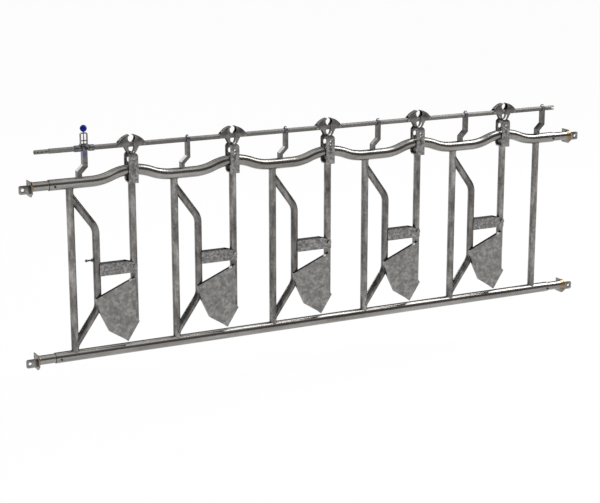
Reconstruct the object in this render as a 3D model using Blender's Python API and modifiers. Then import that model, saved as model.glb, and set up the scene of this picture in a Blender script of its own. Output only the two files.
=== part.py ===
# Self-locking headlock panel for five animals, all sizes in metres, +Z up.
# X runs along the panel, the feeding side is -Y. The origin lies on the front face
# of the lower left bolting lug, at the height of the bottom tube's axis.
import math

import bmesh
import bpy
from mathutils import Matrix, Vector

# Panel layout
PLACES = 5
PITCH = 0.700
TUBE_SPACING = 1.119
GAP = 0.0003

# Main tubes and the wave of the top tube
MAIN_RADIUS = 0.035
MAIN_WALL = 0.0045
OVERHANG_LEFT = 0.135
OVERHANG_RIGHT = 0.140
WAVE_RISE = 0.053
WAVE_HALF_LENGTH = 0.270
WAVE_STEPS = 2

# Posts and bent tubes
POST_RADIUS = 0.02415
POST_WALL = 0.0032
BENT_OFFSET = 0.162
BENT_TOP_DROP = 0.077            # top joint under the top tube's axis
BENT_TOP_RUN = 0.225             # from the top joint down to the bend
BENT_LOW_JOINT = 0.0625
BENT_LOW_RUN = 0.2325            # from the low joint up to the bend
BEND_RADIUS = 0.110
BEND_STEPS = 2

# Telescopic end fittings
SLEEVE_RADIUS = 0.03015
SLEEVE_WALL = 0.0036
SLEEVE_OUT_LEFT = 0.1085
SLEEVE_OUT_RIGHT = 0.1425
SLEEVE_IN = 0.100
FLANGE_THICKNESS = 0.008
FLANGE_DEPTH = 0.110
FLANGE_BACK = 0.079
FLANGE_TOP = 0.031
FLANGE_HEIGHT = 0.096
FLANGE_CHAMFER_Y = 0.034
FLANGE_CHAMFER_Z = 0.026
FLANGE_HOLE_RADIUS = 0.007
FLANGE_HOLE_EDGE = 0.020
UPPER_RIGHT_LIFT = 0.008
LUG_THICKNESS = 0.010
LUG_LENGTH = 0.073
LUG_HEIGHT = 0.055
LUG_DROP = 0.0145
LUG_CORNER = 0.012
LUG_HOLE_RADIUS = 0.010
LUG_HOLE_END = 0.024
LUG_FACE_POINT = 0.0195

# Swing bars, their pivots and fork heads
BAR_OFFSET = 0.412
BAR_LOW_END = 0.180
PIVOT_HEIGHT = 0.548
PIVOT_RADIUS = 0.008
BOLT_HEAD_ACROSS = 0.024
BOLT_HEAD_HEIGHT = 0.010
FORK_HALF_WIDTH = 0.032
FORK_INNER = 0.038
FORK_PLATE = 0.006
FORK_UNDER_TUBE = 0.030          # lower end of the fork, under the top tube's axis
FORK_UNDER_RAIL = 0.048          # its top, under the rail's axis
FORK_NOSE_RISE = 0.027
FORK_CORNER_CUT = 0.018
SADDLE_HALF_WIDTH = 0.026
SADDLE_PLATE = 0.008
SLOT_WIDTH = 0.008
SLOT_LENGTH = 0.018
SLOT_UNDER_RAIL = 0.117
WINDOW_RADIUS = 0.0055
WINDOW_UNDER_RAIL = 0.092
BACK_WINDOW_WIDTH = 0.023
BACK_WINDOW_LENGTH = 0.032
BACK_WINDOW_UNDER_RAIL = 0.102
LATCH_PIN_RADIUS = 0.006
LATCH_PIN_UNDER_TIP = 0.0054

# Pivot arms
ARM_UNDER_PIVOT = 0.043
ARM_TO_COLUMN = 0.010            # the cheeks start this far right of the bent tube's axis
ARM_HEIGHT = 0.078
ARM_SHEET = 0.004
ARM_PAST_PIVOT = 0.015
ARM_WEB_TO_BAR = 0.067
ARM_CHAMFER_LENGTH = 0.066
ARM_CHAMFER_DROP = 0.019

# Paddles
PADDLE_DEPTH = 0.0243
PADDLE_SHEET = 0.003
PADDLE_EDGE_TO_BAR = 0.012
PADDLE_LEFT = 0.277
PADDLE_UNDER_PIVOT = 0.070       # top right corner under the pivot
PADDLE_SLOPE_DROP = 0.113        # top left corner under the top right one
PADDLE_LEFT_EDGE = 0.017
PADDLE_TIP = 0.058
PADDLE_TIP_LEFT = 0.069
PADDLE_EDGE_RISE = 0.035         # its right edge ends this far above the bar's lower end
PADDLE_CORNER_RISE = 0.004       # and its lower right corner lies this far above it
PADDLE_LOW_EDGE = [(0.023, 0.018), (0.125, 0.083)]  # corners left of and above the tip
PADDLE_LEFT_FOOT = (0.025, 0.206)  # foot of the left edge: right of that edge, above the tip
PADDLE_STRIP_LOW = 0.020         # weld strip starts this far above the bar's lower end
PADDLE_STRIP_TOP = 0.010         # and stops this far under the sheet's top corner

# Control rail and its hooks
RAIL_RADIUS = 0.016
RAIL_WALL = 0.003
RAIL_RISE = 0.214                # rail's axis above the top tube's
RAIL_LEFT = 0.124
RAIL_RIGHT = 0.139
SPIGOT_RADIUS = 0.0135
SPIGOT_OUT = 0.094
SPIGOT_IN = 0.060
RAIL_SLOT_HEIGHT = 0.010
RAIL_SLOT_DEPTH = 0.028
LOCK_HOOK_OFFSET = 0.1035
HOOK_OFFSET = 0.0975
LAST_HOOK_OFFSET = 0.045
HOOK_JOG = 0.040
HOOK_WIDTH = 0.0225
LOCK_HOOK_WIDTH = 0.031
HOOK_SHEET = 0.003
HOOK_INNER = 0.0175
HOOK_LOW_BEND = 0.066
HOOK_HIGH_BEND = 0.105
HOOK_CHEEK_RISE = 0.004
CURL_WIDTH = 0.009
CURL_LIFT = 0.010
CURL_TURN = math.radians(128)

# Half-moon latches
LATCH_PIVOT_OFFSET = 0.085
LATCH_PIN = 0.004
LATCH_SHEET = 0.003
LATCH_SIDE_GAP = 0.0005
LATCH_CORNER = 0.012
LATCH_TOP = 0.063
LATCH_TIP_OFFSET = 0.015
LATCH_TIP_DROP = 0.008
RIM_MIDDLE = (-0.058, 0.045)
RIM_STEPS = 5
WEB_LOW_END = 0.026
NOTCH_START = math.radians(143)
NOTCH_END = math.radians(235)
LATCH_NOTCH_RADIUS = 0.025
LATCH_NOTCH_HEIGHT = 0.041
LATCH_INNER = 0.013
LEG_INNER_POINTS = [(-0.022, -0.017), (-0.021, -0.030), (-0.015, -0.046)]  # inner edge, rail to tip
LEG_TIP_DEPTH = 0.056
LEG_TIP_INNER = 0.0075
LEG_TIP_WIDTH = 0.014
LEG_ROOT_OUTER = 0.050
LEG_OUTER_POINTS = [(-0.031, -0.046), (-0.041, -0.026)]  # outer edge, from the tip to the root
LATCH_CORNER_TURN = math.radians(129.6)  # how far the corner round the rivet turns
WEB_TOP_GAP = math.radians(4)    # the web stops this far short of the tip

# Release lock over the first hook
COLLAR_RADIUS = 0.0205
LEFT_COLLAR_LENGTH = 0.040
RIGHT_COLLAR_LENGTH = 0.035
LEFT_COLLAR_GAP = 0.0088
RIGHT_COLLAR_GAP = 0.0138
LOCK_CHEEK_RISE = 0.0217
STIRRUP_WIDTH = 0.047
STIRRUP_BAR = 0.005
STIRRUP_DEPTH = 0.020
STIRRUP_HEIGHT = 0.075
STIRRUP_CROSS_HEIGHT = 0.023
STIRRUP_BASE = 0.004
STIRRUP_FOOT = 0.002
PLUNGER_RADIUS = 0.004
PLUNGER_RING_RADIUS = 0.007
PLUNGER_RING = 0.003
KNOB_RADIUS = 0.0225
KNOB_CLEARANCE = 0.0045
KNOB_BORE_DEPTH = 0.016
STUD_RADIUS = 0.006
STUD_LENGTH = 0.053
STUD_HEIGHT = 0.611

# Curve bevel resolutions and circle segments
TUBE_BEVEL = 4
RAIL_SIDES = 12
HOLE_SEGMENTS = 10
ARC_SEGMENTS = 3
CUT_MARGIN = 0.002
WELD_DISTANCE = 1e-6

# Places that follow from the sizes above
FLANGE_FACE = LUG_FACE_POINT
FIRST_POST = FLANGE_FACE + FLANGE_THICKNESS + SLEEVE_OUT_LEFT + OVERHANG_LEFT
LAST_POST = FIRST_POST + PLACES * PITCH
MID_PLANE = LUG_THICKNESS / 2
TUBE_LEFT_END = FIRST_POST - OVERHANG_LEFT
TUBE_RIGHT_END = LAST_POST + OVERHANG_RIGHT
RAIL_HEIGHT = TUBE_SPACING + RAIL_RISE
BENT_TOP_JOINT = TUBE_SPACING - BENT_TOP_DROP
BENT_TOP_BEND = BENT_TOP_JOINT - BENT_TOP_RUN
BENT_LOW_BEND = BENT_LOW_JOINT + BENT_LOW_RUN
FORK_LOW_END = TUBE_SPACING - FORK_UNDER_TUBE
FORK_TOP = RAIL_HEIGHT - FORK_UNDER_RAIL
SLOT_HEIGHT = RAIL_HEIGHT - SLOT_UNDER_RAIL
WINDOW_HEIGHT = RAIL_HEIGHT - WINDOW_UNDER_RAIL
BACK_WINDOW_HEIGHT = RAIL_HEIGHT - BACK_WINDOW_UNDER_RAIL
FORK_OUTER = FORK_INNER + FORK_PLATE
PIVOT_BORE = (PIVOT_RADIUS + GAP) / math.cos(math.pi / HOLE_SEGMENTS)
RAIL_BORE = (RAIL_RADIUS + GAP) / math.cos(math.pi / RAIL_SIDES)
LATCH_INNER_Y = RAIL_RADIUS + LATCH_SIDE_GAP
LATCH_OUTER_Y = LATCH_INNER_Y + LATCH_SHEET
LATCH_PIN_HEIGHT = RAIL_HEIGHT - LEG_TIP_DEPTH - LATCH_PIN_UNDER_TIP
HOOK_OUTER = HOOK_INNER + HOOK_SHEET
ARM_INNER = POST_RADIUS + GAP
ARM_OUTER = ARM_INNER + ARM_SHEET
ARM_LOW = PIVOT_HEIGHT - ARM_UNDER_PIVOT
ARM_TOP = ARM_LOW + ARM_HEIGHT
PADDLE_TOP_RIGHT = PIVOT_HEIGHT - PADDLE_UNDER_PIVOT
PADDLE_TOP_LEFT = PADDLE_TOP_RIGHT - PADDLE_SLOPE_DROP
PADDLE_LEFT_LOW = PADDLE_TOP_LEFT - PADDLE_LEFT_EDGE

parts = bpy.data.collections.new("headlock")
cutters = bpy.data.collections.new("cutters")


def post_x(index):
    return FIRST_POST + index * PITCH


def bar_x(index):
    return post_x(index) + BAR_OFFSET


def make_material(name, colour, metallic, roughness):
    material = bpy.data.materials.new(name)
    material.use_nodes = True
    shader = material.node_tree.nodes["Principled BSDF"]
    shader.inputs["Base Color"].default_value = (*colour, 1.0)
    shader.inputs["Metallic"].default_value = metallic
    shader.inputs["Roughness"].default_value = roughness
    return material


def tool_object(name, mesh):
    obj = bpy.data.objects.new(name, mesh)
    obj.hide_render = True
    obj.display_type = "WIRE"
    cutters.objects.link(obj)
    return obj


def evaluated_mesh(obj):
    bpy.context.view_layer.update()
    graph = bpy.context.evaluated_depsgraph_get()
    return bpy.data.meshes.new_from_object(obj.evaluated_get(graph))


def bake_modifiers(obj):
    mesh = evaluated_mesh(obj)
    obj.modifiers.clear()
    obj.data = mesh
    return obj


def from_bmesh(name, shape):
    mesh = bpy.data.meshes.new(name)
    shape.to_mesh(mesh)
    shape.free()
    return tool_object(name, mesh)


def box(name, low, high):
    shape = bmesh.new()
    size = Vector(high) - Vector(low)
    centre = (Vector(high) + Vector(low)) / 2
    bmesh.ops.create_cube(shape, size=1.0, matrix=Matrix.Translation(centre) @ Matrix.Diagonal((*size, 1.0)))
    return from_bmesh(name, shape)


def cylinder(name, start, end, radius, segments=HOLE_SEGMENTS):
    shape = bmesh.new()
    run = Vector(end) - Vector(start)
    turn = run.to_track_quat("Z", "Y").to_matrix().to_4x4()
    place = Matrix.Translation((Vector(start) + Vector(end)) / 2) @ turn
    bmesh.ops.create_cone(shape, cap_ends=True, segments=segments, radius1=radius, radius2=radius,
                          depth=run.length, matrix=place)
    return from_bmesh(name, shape)


def settled(guide, matrix=None):
    """The finished mesh of a guide object, placed by matrix, welded and facing outwards."""
    name = guide.name
    shape = bmesh.new()
    shape.from_mesh(evaluated_mesh(guide))
    if matrix is not None:
        shape.transform(matrix)
    bmesh.ops.remove_doubles(shape, verts=shape.verts, dist=WELD_DISTANCE)
    bmesh.ops.recalc_face_normals(shape, faces=shape.faces)
    bpy.data.objects.remove(guide)
    return from_bmesh(name, shape)


def gather(name, tools):
    """Several shapes that don't touch each other, as one shape for a single cut or join."""
    shape = bmesh.new()
    for tool in tools:
        shape.from_mesh(tool.data)
        bpy.data.objects.remove(tool)
    return from_bmesh(name, shape)


def swept(name, points, radius, wall=None):
    """A round bar along points, or a tube where a wall is given."""
    curve = bpy.data.curves.new(name, "CURVE")
    curve.dimensions = "3D"
    curve.bevel_depth = radius
    curve.bevel_resolution = TUBE_BEVEL
    curve.use_fill_caps = wall is None
    spline = curve.splines.new("POLY")
    spline.points.add(len(points) - 1)
    for target, point in zip(spline.points, points):
        target.co = (*point, 1.0)
    obj = settled(tool_object(name, curve))
    if wall is not None:
        shell = obj.modifiers.new("wall", "SOLIDIFY")
        shell.thickness = wall
        shell.offset = -1
        shell.use_even_offset = True
        bake_modifiers(obj)
    return obj


def plate(name, outline, low, high, plane="XZ"):
    """A flat outline with a thickness from low to high along the plane's normal."""
    curve = bpy.data.curves.new(name, "CURVE")
    curve.dimensions = "2D"
    curve.fill_mode = "BOTH"
    curve.extrude = (high - low) / 2
    spline = curve.splines.new("POLY")
    spline.points.add(len(outline) - 1)
    spline.use_cyclic_u = True
    for target, (across, up) in zip(spline.points, outline):
        target.co = (across, up, 0.0, 1.0)
    middle = (low + high) / 2
    if plane == "XZ":
        matrix = Matrix.Translation((0, middle, 0)) @ Matrix.Rotation(math.pi / 2, 4, "X")
    else:
        stand = Matrix.Rotation(math.pi / 2, 4, "Z") @ Matrix.Rotation(math.pi / 2, 4, "X")
        matrix = Matrix.Translation((middle, 0, 0)) @ stand
    return settled(tool_object(name, curve), matrix)


def turned(name, profile, start, direction, sides=HOLE_SEGMENTS):
    """A body turned from radius and length pairs, its axis running from start."""
    mesh = bpy.data.meshes.new(name)
    count = len(profile)
    closed = profile[0][0] > 0
    edges = [(index, (index + 1) % count) for index in range(count if closed else count - 1)]
    mesh.from_pydata([(radius, 0.0, length) for radius, length in profile], edges, [])
    guide = tool_object(name, mesh)
    screw = guide.modifiers.new("turn", "SCREW")
    screw.axis = "Z"
    screw.angle = 2 * math.pi
    screw.steps = sides
    screw.render_steps = sides
    screw.use_merge_vertices = True
    screw.merge_threshold = WELD_DISTANCE
    turn = Vector(direction).to_track_quat("Z", "Y").to_matrix().to_4x4()
    return settled(guide, Matrix.Translation(start) @ turn)


def combine(target, other, operation):
    step = target.modifiers.new(operation.lower(), "BOOLEAN")
    step.operation = operation
    step.object = other
    bake_modifiers(target)
    bpy.data.objects.remove(other)
    return target


def cut(target, other):
    return combine(target, other, "DIFFERENCE")


def join(target, other):
    return combine(target, other, "UNION")


def finish(obj, name, material, origin, smooth=True):
    """Hand a shape over as a named part with its origin where it turns or is held."""
    origin = Vector(origin)
    obj.name = name
    obj.data.name = name
    obj.data.transform(Matrix.Translation(-origin))
    obj.data.materials.clear()
    obj.data.materials.append(material)
    obj.location = origin
    obj.parent = panel
    obj.hide_render = False
    obj.display_type = "TEXTURED"
    if smooth:
        obj.data.shade_smooth()
        obj.data.set_sharp_from_angle(angle=math.radians(35))
    cutters.objects.unlink(obj)
    parts.objects.link(obj)
    return obj


def repeat(first, count):
    """Copies of a finished part, one pitch further along each, numbered on from the first."""
    stem, number = first.name.rsplit("_", 1)
    for step in range(1, count):
        twin = first.copy()
        twin.name = f"{stem}_{int(number) + step}"
        twin.location.x += step * PITCH
        parts.objects.link(twin)


def arc(centre, radius, start, end, steps):
    """Points on a circle from one angle to another, both ends included."""
    found = []
    for index in range(steps + 1):
        angle = start + (end - start) * index / steps
        found.append((centre[0] + radius * math.cos(angle), centre[1] + radius * math.sin(angle)))
    return found


def circle_through(start, middle, end):
    """Centre and radius of the circle through three points."""
    (ax, ay), (bx, by), (cx, cy) = start, middle, end
    scale = 2 * (ax * (by - cy) + bx * (cy - ay) + cx * (ay - by))
    a_square, b_square, c_square = ax * ax + ay * ay, bx * bx + by * by, cx * cx + cy * cy
    x = (a_square * (by - cy) + b_square * (cy - ay) + c_square * (ay - by)) / scale
    y = (a_square * (cx - bx) + b_square * (ax - cx) + c_square * (bx - ax)) / scale
    return (x, y), math.hypot(ax - x, ay - y)


def rounded_path(corners, radius, steps):
    """A run of corners in X and Z with each inner corner replaced by an arc."""
    found = [corners[0]]
    for before, corner, after in zip(corners, corners[1:], corners[2:]):
        towards = (Vector(before) - Vector(corner)).normalized()
        away = (Vector(after) - Vector(corner)).normalized()
        half = towards.angle(away) / 2
        reach = radius / math.tan(half)
        centre = Vector(corner) + (towards + away).normalized() * radius / math.sin(half)
        start = Vector(corner) + towards * reach - centre
        end = Vector(corner) + away * reach - centre
        sweep = start.angle_signed(end)
        first = math.atan2(start.y, start.x)
        found += arc(centre, radius, first, first - sweep, steps)
    found.append(corners[-1])
    return found


def in_panel(points):
    return [(x, 0.0, z) for x, z in points]


def wave_points():
    """Axis of the top tube: straight at the posts, a crest of tangent arcs at each bar."""
    radius = (WAVE_HALF_LENGTH ** 2 + WAVE_RISE ** 2) / (4 * WAVE_RISE)
    angle = 2 * math.atan2(WAVE_RISE, WAVE_HALF_LENGTH)
    up, down = math.pi / 2, -math.pi / 2
    found = [(TUBE_LEFT_END, TUBE_SPACING)]
    for index in range(PLACES):
        low_centre = TUBE_SPACING + radius
        top_centre = TUBE_SPACING + WAVE_RISE - radius
        start, end = bar_x(index) - WAVE_HALF_LENGTH, bar_x(index) + WAVE_HALF_LENGTH
        found += arc((start, low_centre), radius, down, down + angle, WAVE_STEPS)
        found += arc((bar_x(index), top_centre), radius, up + angle, up - angle, 2 * WAVE_STEPS)[1:-1]
        found += arc((end, low_centre), radius, down - angle, down, WAVE_STEPS)
    found.append((TUBE_RIGHT_END, TUBE_SPACING))
    return in_panel(found)


def bottom_points():
    return in_panel([(TUBE_LEFT_END, 0.0), (TUBE_RIGHT_END, 0.0)])


def top_cutter():
    return swept("top_cutter", wave_points(), MAIN_RADIUS + GAP)


def bottom_cutter():
    return swept("bottom_cutter", bottom_points(), MAIN_RADIUS + GAP)


def bent_points():
    low, high = (FIRST_POST, BENT_LOW_JOINT), (FIRST_POST, BENT_TOP_JOINT)
    column = FIRST_POST + BENT_OFFSET
    corners = [low, (column, BENT_LOW_BEND), (column, BENT_TOP_BEND), high]
    return in_panel(rounded_path(corners, BEND_RADIUS, BEND_STEPS))


def post_points():
    return in_panel([(FIRST_POST, 0.0), (FIRST_POST, TUBE_SPACING)])


def build_main_tubes():
    top = swept("top_tube", wave_points(), MAIN_RADIUS, MAIN_WALL)
    finish(top, "top_tube", steel, (TUBE_LEFT_END, 0, TUBE_SPACING))
    bottom = swept("bottom_tube", bottom_points(), MAIN_RADIUS, MAIN_WALL)
    finish(bottom, "bottom_tube", steel, (TUBE_LEFT_END, 0, 0))


def build_posts():
    post = swept("post", post_points(), POST_RADIUS, POST_WALL)
    cut(post, top_cutter())
    cut(post, bottom_cutter())
    repeat(finish(post, "post_1", steel, (FIRST_POST, 0, 0)), PLACES + 1)


def build_bent_tubes():
    bent = swept("bent", bent_points(), POST_RADIUS, POST_WALL)
    cut(bent, swept("post_cutter", post_points(), POST_RADIUS + GAP))
    repeat(finish(bent, "bent_tube_1", steel, (FIRST_POST + BENT_OFFSET, 0, BENT_LOW_BEND)), PLACES)


def build_stud():
    """The adjusting stud that points from the first bent tube to its post."""
    seat = post_x(0) + BENT_OFFSET - POST_RADIUS - GAP
    stud = cylinder("stud", (seat, 0, STUD_HEIGHT), (seat - STUD_LENGTH, 0, STUD_HEIGHT), STUD_RADIUS, 8)
    finish(stud, "adjusting_stud", zinc, (seat, 0, STUD_HEIGHT))


def lug_outline(side, weld_height):
    """Outline in X and Z, with its outer corners rounded. side is -1 at the left end."""
    face = FLANGE_FACE if side < 0 else flange_face_right()
    end = face + side * LUG_LENGTH
    middle = weld_height - LUG_DROP
    low, high = middle - LUG_HEIGHT / 2, middle + LUG_HEIGHT / 2
    inset = end - side * LUG_CORNER
    quarter = side * math.pi / 2
    lower = arc((inset, low + LUG_CORNER), LUG_CORNER, -math.pi / 2, -math.pi / 2 + quarter, 3)
    upper = arc((inset, high - LUG_CORNER), LUG_CORNER, math.pi / 2 - quarter, math.pi / 2, 3)
    root = face - side * FLANGE_THICKNESS / 2
    return [(root, low)] + lower + upper + [(root, high)]


def flange_face_right():
    return TUBE_RIGHT_END + SLEEVE_OUT_RIGHT + FLANGE_THICKNESS


def flange_outline(weld_height):
    """Outline in Y and Z: square corners at the back, cut corners on the feeding side."""
    back, front = FLANGE_BACK, FLANGE_BACK - FLANGE_DEPTH
    top = weld_height + FLANGE_TOP
    low = top - FLANGE_HEIGHT
    return [(back, low), (back, top), (front + FLANGE_CHAMFER_Y, top), (front, top - FLANGE_CHAMFER_Z),
            (front, low + FLANGE_CHAMFER_Z), (front + FLANGE_CHAMFER_Y, low)]


def build_end_fitting(name, side, axis_height, lift):
    weld_height = axis_height + lift
    face = FLANGE_FACE if side < 0 else flange_face_right()
    inner = face - side * FLANGE_THICKNESS
    tube_end = TUBE_LEFT_END if side < 0 else TUBE_RIGHT_END
    far_end = tube_end - side * SLEEVE_IN
    near_end = face - side * FLANGE_THICKNESS / 2
    points = in_panel([(min(near_end, far_end), axis_height), (max(near_end, far_end), axis_height)])
    fitting = swept("sleeve", points, SLEEVE_RADIUS, SLEEVE_WALL)
    join(fitting, plate("flange", flange_outline(weld_height), min(face, inner), max(face, inner), "YZ"))
    join(fitting, plate("lug", lug_outline(side, weld_height), -LUG_THICKNESS / 2, LUG_THICKNESS / 2))
    hole_x = face + side * (LUG_LENGTH - LUG_HOLE_END)
    hole_z = weld_height - LUG_DROP
    reach = LUG_THICKNESS
    holes = [cylinder("lug_hole", (hole_x, -reach, hole_z), (hole_x, reach, hole_z), LUG_HOLE_RADIUS, 12)]
    hole_y = FLANGE_BACK - FLANGE_HOLE_EDGE
    for height in (weld_height + FLANGE_TOP - FLANGE_HOLE_EDGE,
                   weld_height + FLANGE_TOP - FLANGE_HEIGHT + FLANGE_HOLE_EDGE):
        ends = (min(face, inner) - CUT_MARGIN, max(face, inner) + CUT_MARGIN)
        holes.append(cylinder("flange_hole", (ends[0], hole_y, height), (ends[1], hole_y, height),
                              FLANGE_HOLE_RADIUS))
    cut(fitting, gather("fitting_holes", holes))
    finish(fitting, name, steel, (face, 0, axis_height))


def fork_outline(x, cut_corner):
    """One fork plate in X and Z: straight sides, rounded nose, a cut lower corner at the back."""
    shoulder = FORK_TOP - FORK_NOSE_RISE
    nose = [(x + FORK_HALF_WIDTH * math.cos(angle), shoulder + FORK_NOSE_RISE * math.sin(angle))
            for angle in (math.pi * step / 6 for step in range(7))]
    left = x - FORK_HALF_WIDTH
    if cut_corner:
        base = [(left, FORK_LOW_END + FORK_CORNER_CUT), (left + FORK_CORNER_CUT / 2, FORK_LOW_END)]
    else:
        base = [(left, FORK_LOW_END)]
    return [(x + FORK_HALF_WIDTH, FORK_LOW_END)] + nose + base


def slot_outline(x, height, width, length):
    half, reach = width / 2, (length - width) / 2
    lower = arc((x, height - reach), half, math.pi, 2 * math.pi, ARC_SEGMENTS)
    return lower + arc((x, height + reach), half, 0.0, math.pi, ARC_SEGMENTS)


def build_swing_bar():
    x = bar_x(0)
    saddle_top = FORK_LOW_END + SADDLE_PLATE
    axis = in_panel([(x, BAR_LOW_END), (x, FORK_LOW_END + SADDLE_PLATE / 2)])
    bar = swept("bar", axis, POST_RADIUS, POST_WALL)
    join(bar, box("saddle", (x - SADDLE_HALF_WIDTH, -FORK_INNER - FORK_PLATE / 2, FORK_LOW_END),
                  (x + SADDLE_HALF_WIDTH, FORK_INNER + FORK_PLATE / 2, saddle_top)))
    join(bar, plate("front_fork", fork_outline(x, False), -FORK_OUTER, -FORK_INNER))
    join(bar, plate("back_fork", fork_outline(x, True), FORK_INNER, FORK_OUTER))
    pin_reach = FORK_INNER + FORK_PLATE / 2
    join(bar, cylinder("latch_pin", (x, -pin_reach, LATCH_PIN_HEIGHT), (x, pin_reach, LATCH_PIN_HEIGHT),
                       LATCH_PIN_RADIUS))
    past = FORK_OUTER + CUT_MARGIN
    inside = FORK_INNER - CUT_MARGIN
    slot = plate("slot", slot_outline(x, SLOT_HEIGHT, SLOT_WIDTH, SLOT_LENGTH), -past, -inside)
    window = cylinder("window", (x, -past, WINDOW_HEIGHT), (x, -inside, WINDOW_HEIGHT), WINDOW_RADIUS)
    back_outline = slot_outline(x, BACK_WINDOW_HEIGHT, BACK_WINDOW_WIDTH, BACK_WINDOW_LENGTH)
    back_window = plate("back_window", back_outline, inside, past)
    hole = cylinder("hole", (x, -past, PIVOT_HEIGHT), (x, past, PIVOT_HEIGHT), PIVOT_BORE)
    cut(bar, gather("bar_openings", [slot, window, back_window, hole]))
    repeat(finish(bar, "swing_bar_1", steel, (x, 0, PIVOT_HEIGHT)), PLACES)


def paddle_outline(x):
    """Outline of the counterweight sheet, from its top left corner clockwise."""
    right = x - PADDLE_EDGE_TO_BAR
    left = x - PADDLE_LEFT
    low_x = x + POST_RADIUS / 2
    tip_x = x - PADDLE_TIP_LEFT
    return [(left, PADDLE_TOP_LEFT), (right, PADDLE_TOP_RIGHT), (right, BAR_LOW_END + PADDLE_EDGE_RISE),
            (low_x, BAR_LOW_END + PADDLE_CORNER_RISE), (tip_x, PADDLE_TIP),
            *[(tip_x - across, PADDLE_TIP + up) for across, up in PADDLE_LOW_EDGE],
            (left + PADDLE_LEFT_FOOT[0], PADDLE_TIP + PADDLE_LEFT_FOOT[1]), (left, PADDLE_LEFT_LOW)]


def inset_outline(outline, amount):
    """The same outline moved inwards by amount on every side. Points run clockwise."""
    found = []
    count = len(outline)
    for index, point in enumerate(outline):
        before, after = Vector(outline[index - 1]), Vector(outline[(index + 1) % count])
        here = Vector(point)
        along_in, along_out = (here - before).normalized(), (after - here).normalized()
        normal_in, normal_out = Vector((along_in.y, -along_in.x)), Vector((along_out.y, -along_out.x))
        middle = (normal_in + normal_out).normalized()
        moved = here + middle * amount / middle.dot(normal_in)
        found.append((moved.x, moved.y))
    return found


def build_paddle():
    x = bar_x(0)
    back = -POST_RADIUS - GAP
    front = back - PADDLE_DEPTH
    outline = paddle_outline(x)
    tray = plate("tray", outline, front, back)
    inset = inset_outline(outline, PADDLE_SHEET)
    cut(tray, plate("tray_hollow", inset, front + PADDLE_SHEET, back + CUT_MARGIN))
    right = x - PADDLE_EDGE_TO_BAR
    strip_low, strip_top = BAR_LOW_END + PADDLE_STRIP_LOW, PADDLE_TOP_RIGHT - PADDLE_STRIP_TOP
    join(tray, box("weld_strip", (right - PADDLE_SHEET, front + PADDLE_SHEET / 2, strip_low),
                   (right, -POST_RADIUS / 2, strip_top)))
    bar_axis = in_panel([(x, 0.0), (x, TUBE_SPACING)])
    cut(tray, swept("bar_cutter", bar_axis, POST_RADIUS + GAP))
    repeat(finish(tray, "paddle_1", steel, (x, 0, PIVOT_HEIGHT), smooth=False), PLACES)


def build_pivot_arm():
    column, x = FIRST_POST + BENT_OFFSET, bar_x(0)
    start, end = column + ARM_TO_COLUMN, x + ARM_PAST_PIVOT
    outline = [(start, ARM_LOW), (end, ARM_LOW), (end, ARM_TOP - ARM_CHAMFER_DROP),
               (end - ARM_CHAMFER_LENGTH, ARM_TOP), (start, ARM_TOP)]
    arm = plate("arm", outline, -ARM_OUTER, ARM_OUTER)
    web_start, web_end = column + POST_RADIUS + GAP, x - ARM_WEB_TO_BAR
    past = CUT_MARGIN
    web_low, over = ARM_TOP - ARM_SHEET, ARM_TOP + past
    hollow = [(start - past, ARM_LOW - past), (end + past, ARM_LOW - past), (end + past, over), (web_end, over),
              (web_end, web_low), (web_start, web_low), (web_start, over), (start - past, over)]
    cut(arm, plate("arm_hollow", hollow, -ARM_INNER, ARM_INNER))
    reach = ARM_OUTER + CUT_MARGIN
    cut(arm, cylinder("pivot_hole", (x, -reach, PIVOT_HEIGHT), (x, reach, PIVOT_HEIGHT), PIVOT_RADIUS + GAP))
    repeat(finish(arm, "pivot_arm_1", steel, (start, 0, ARM_LOW), smooth=False), PLACES)


def build_pivot_bolt():
    x = bar_x(0)
    head_radius = BOLT_HEAD_ACROSS / math.sqrt(3)
    seat = ARM_OUTER + GAP
    reach = seat + BOLT_HEAD_HEIGHT
    bolt = cylinder("shank", (x, -seat - BOLT_HEAD_HEIGHT / 2, PIVOT_HEIGHT),
                    (x, seat + BOLT_HEAD_HEIGHT / 2, PIVOT_HEIGHT), PIVOT_RADIUS)
    join(bolt, cylinder("head", (x, -reach, PIVOT_HEIGHT), (x, -seat, PIVOT_HEIGHT), head_radius, 6))
    join(bolt, cylinder("nut", (x, seat, PIVOT_HEIGHT), (x, reach, PIVOT_HEIGHT), head_radius, 6))
    repeat(finish(bolt, "pivot_bolt_1", zinc, (x, 0, PIVOT_HEIGHT)), PLACES)


def hook_outline(eye, foot, top, width):
    """Cranked outline in X and Z of one rail hook, from its foot to the top of its cheeks."""
    half = width / 2
    low, high = TUBE_SPACING + HOOK_LOW_BEND, TUBE_SPACING + HOOK_HIGH_BEND
    shift = (high - low) * half / abs(eye - foot) / 2
    base = TUBE_SPACING + MAIN_RADIUS / 2
    return [(foot - half, base), (foot + half, base), (foot + half, low - shift), (eye + half, high - shift),
            (eye + half, top), (eye - half, top), (eye - half, high + shift), (foot - half, low + shift)]


def build_curl(eye):
    """The open loop that keeps the rail down: a strip bent from the back cheek over the rail."""
    centre = (0.0, RAIL_HEIGHT + CURL_LIFT)
    outer = arc(centre, HOOK_OUTER, 0.0, CURL_TURN, 2 * ARC_SEGMENTS)
    inner = arc(centre, HOOK_INNER, CURL_TURN, 0.0, 2 * ARC_SEGMENTS)
    foot = RAIL_HEIGHT - HOOK_SHEET
    outline = [(HOOK_OUTER, foot)] + outer + inner + [(HOOK_INNER, foot)]
    return plate("curl", outline, eye - CURL_WIDTH / 2, eye + CURL_WIDTH / 2, "YZ")


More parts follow.
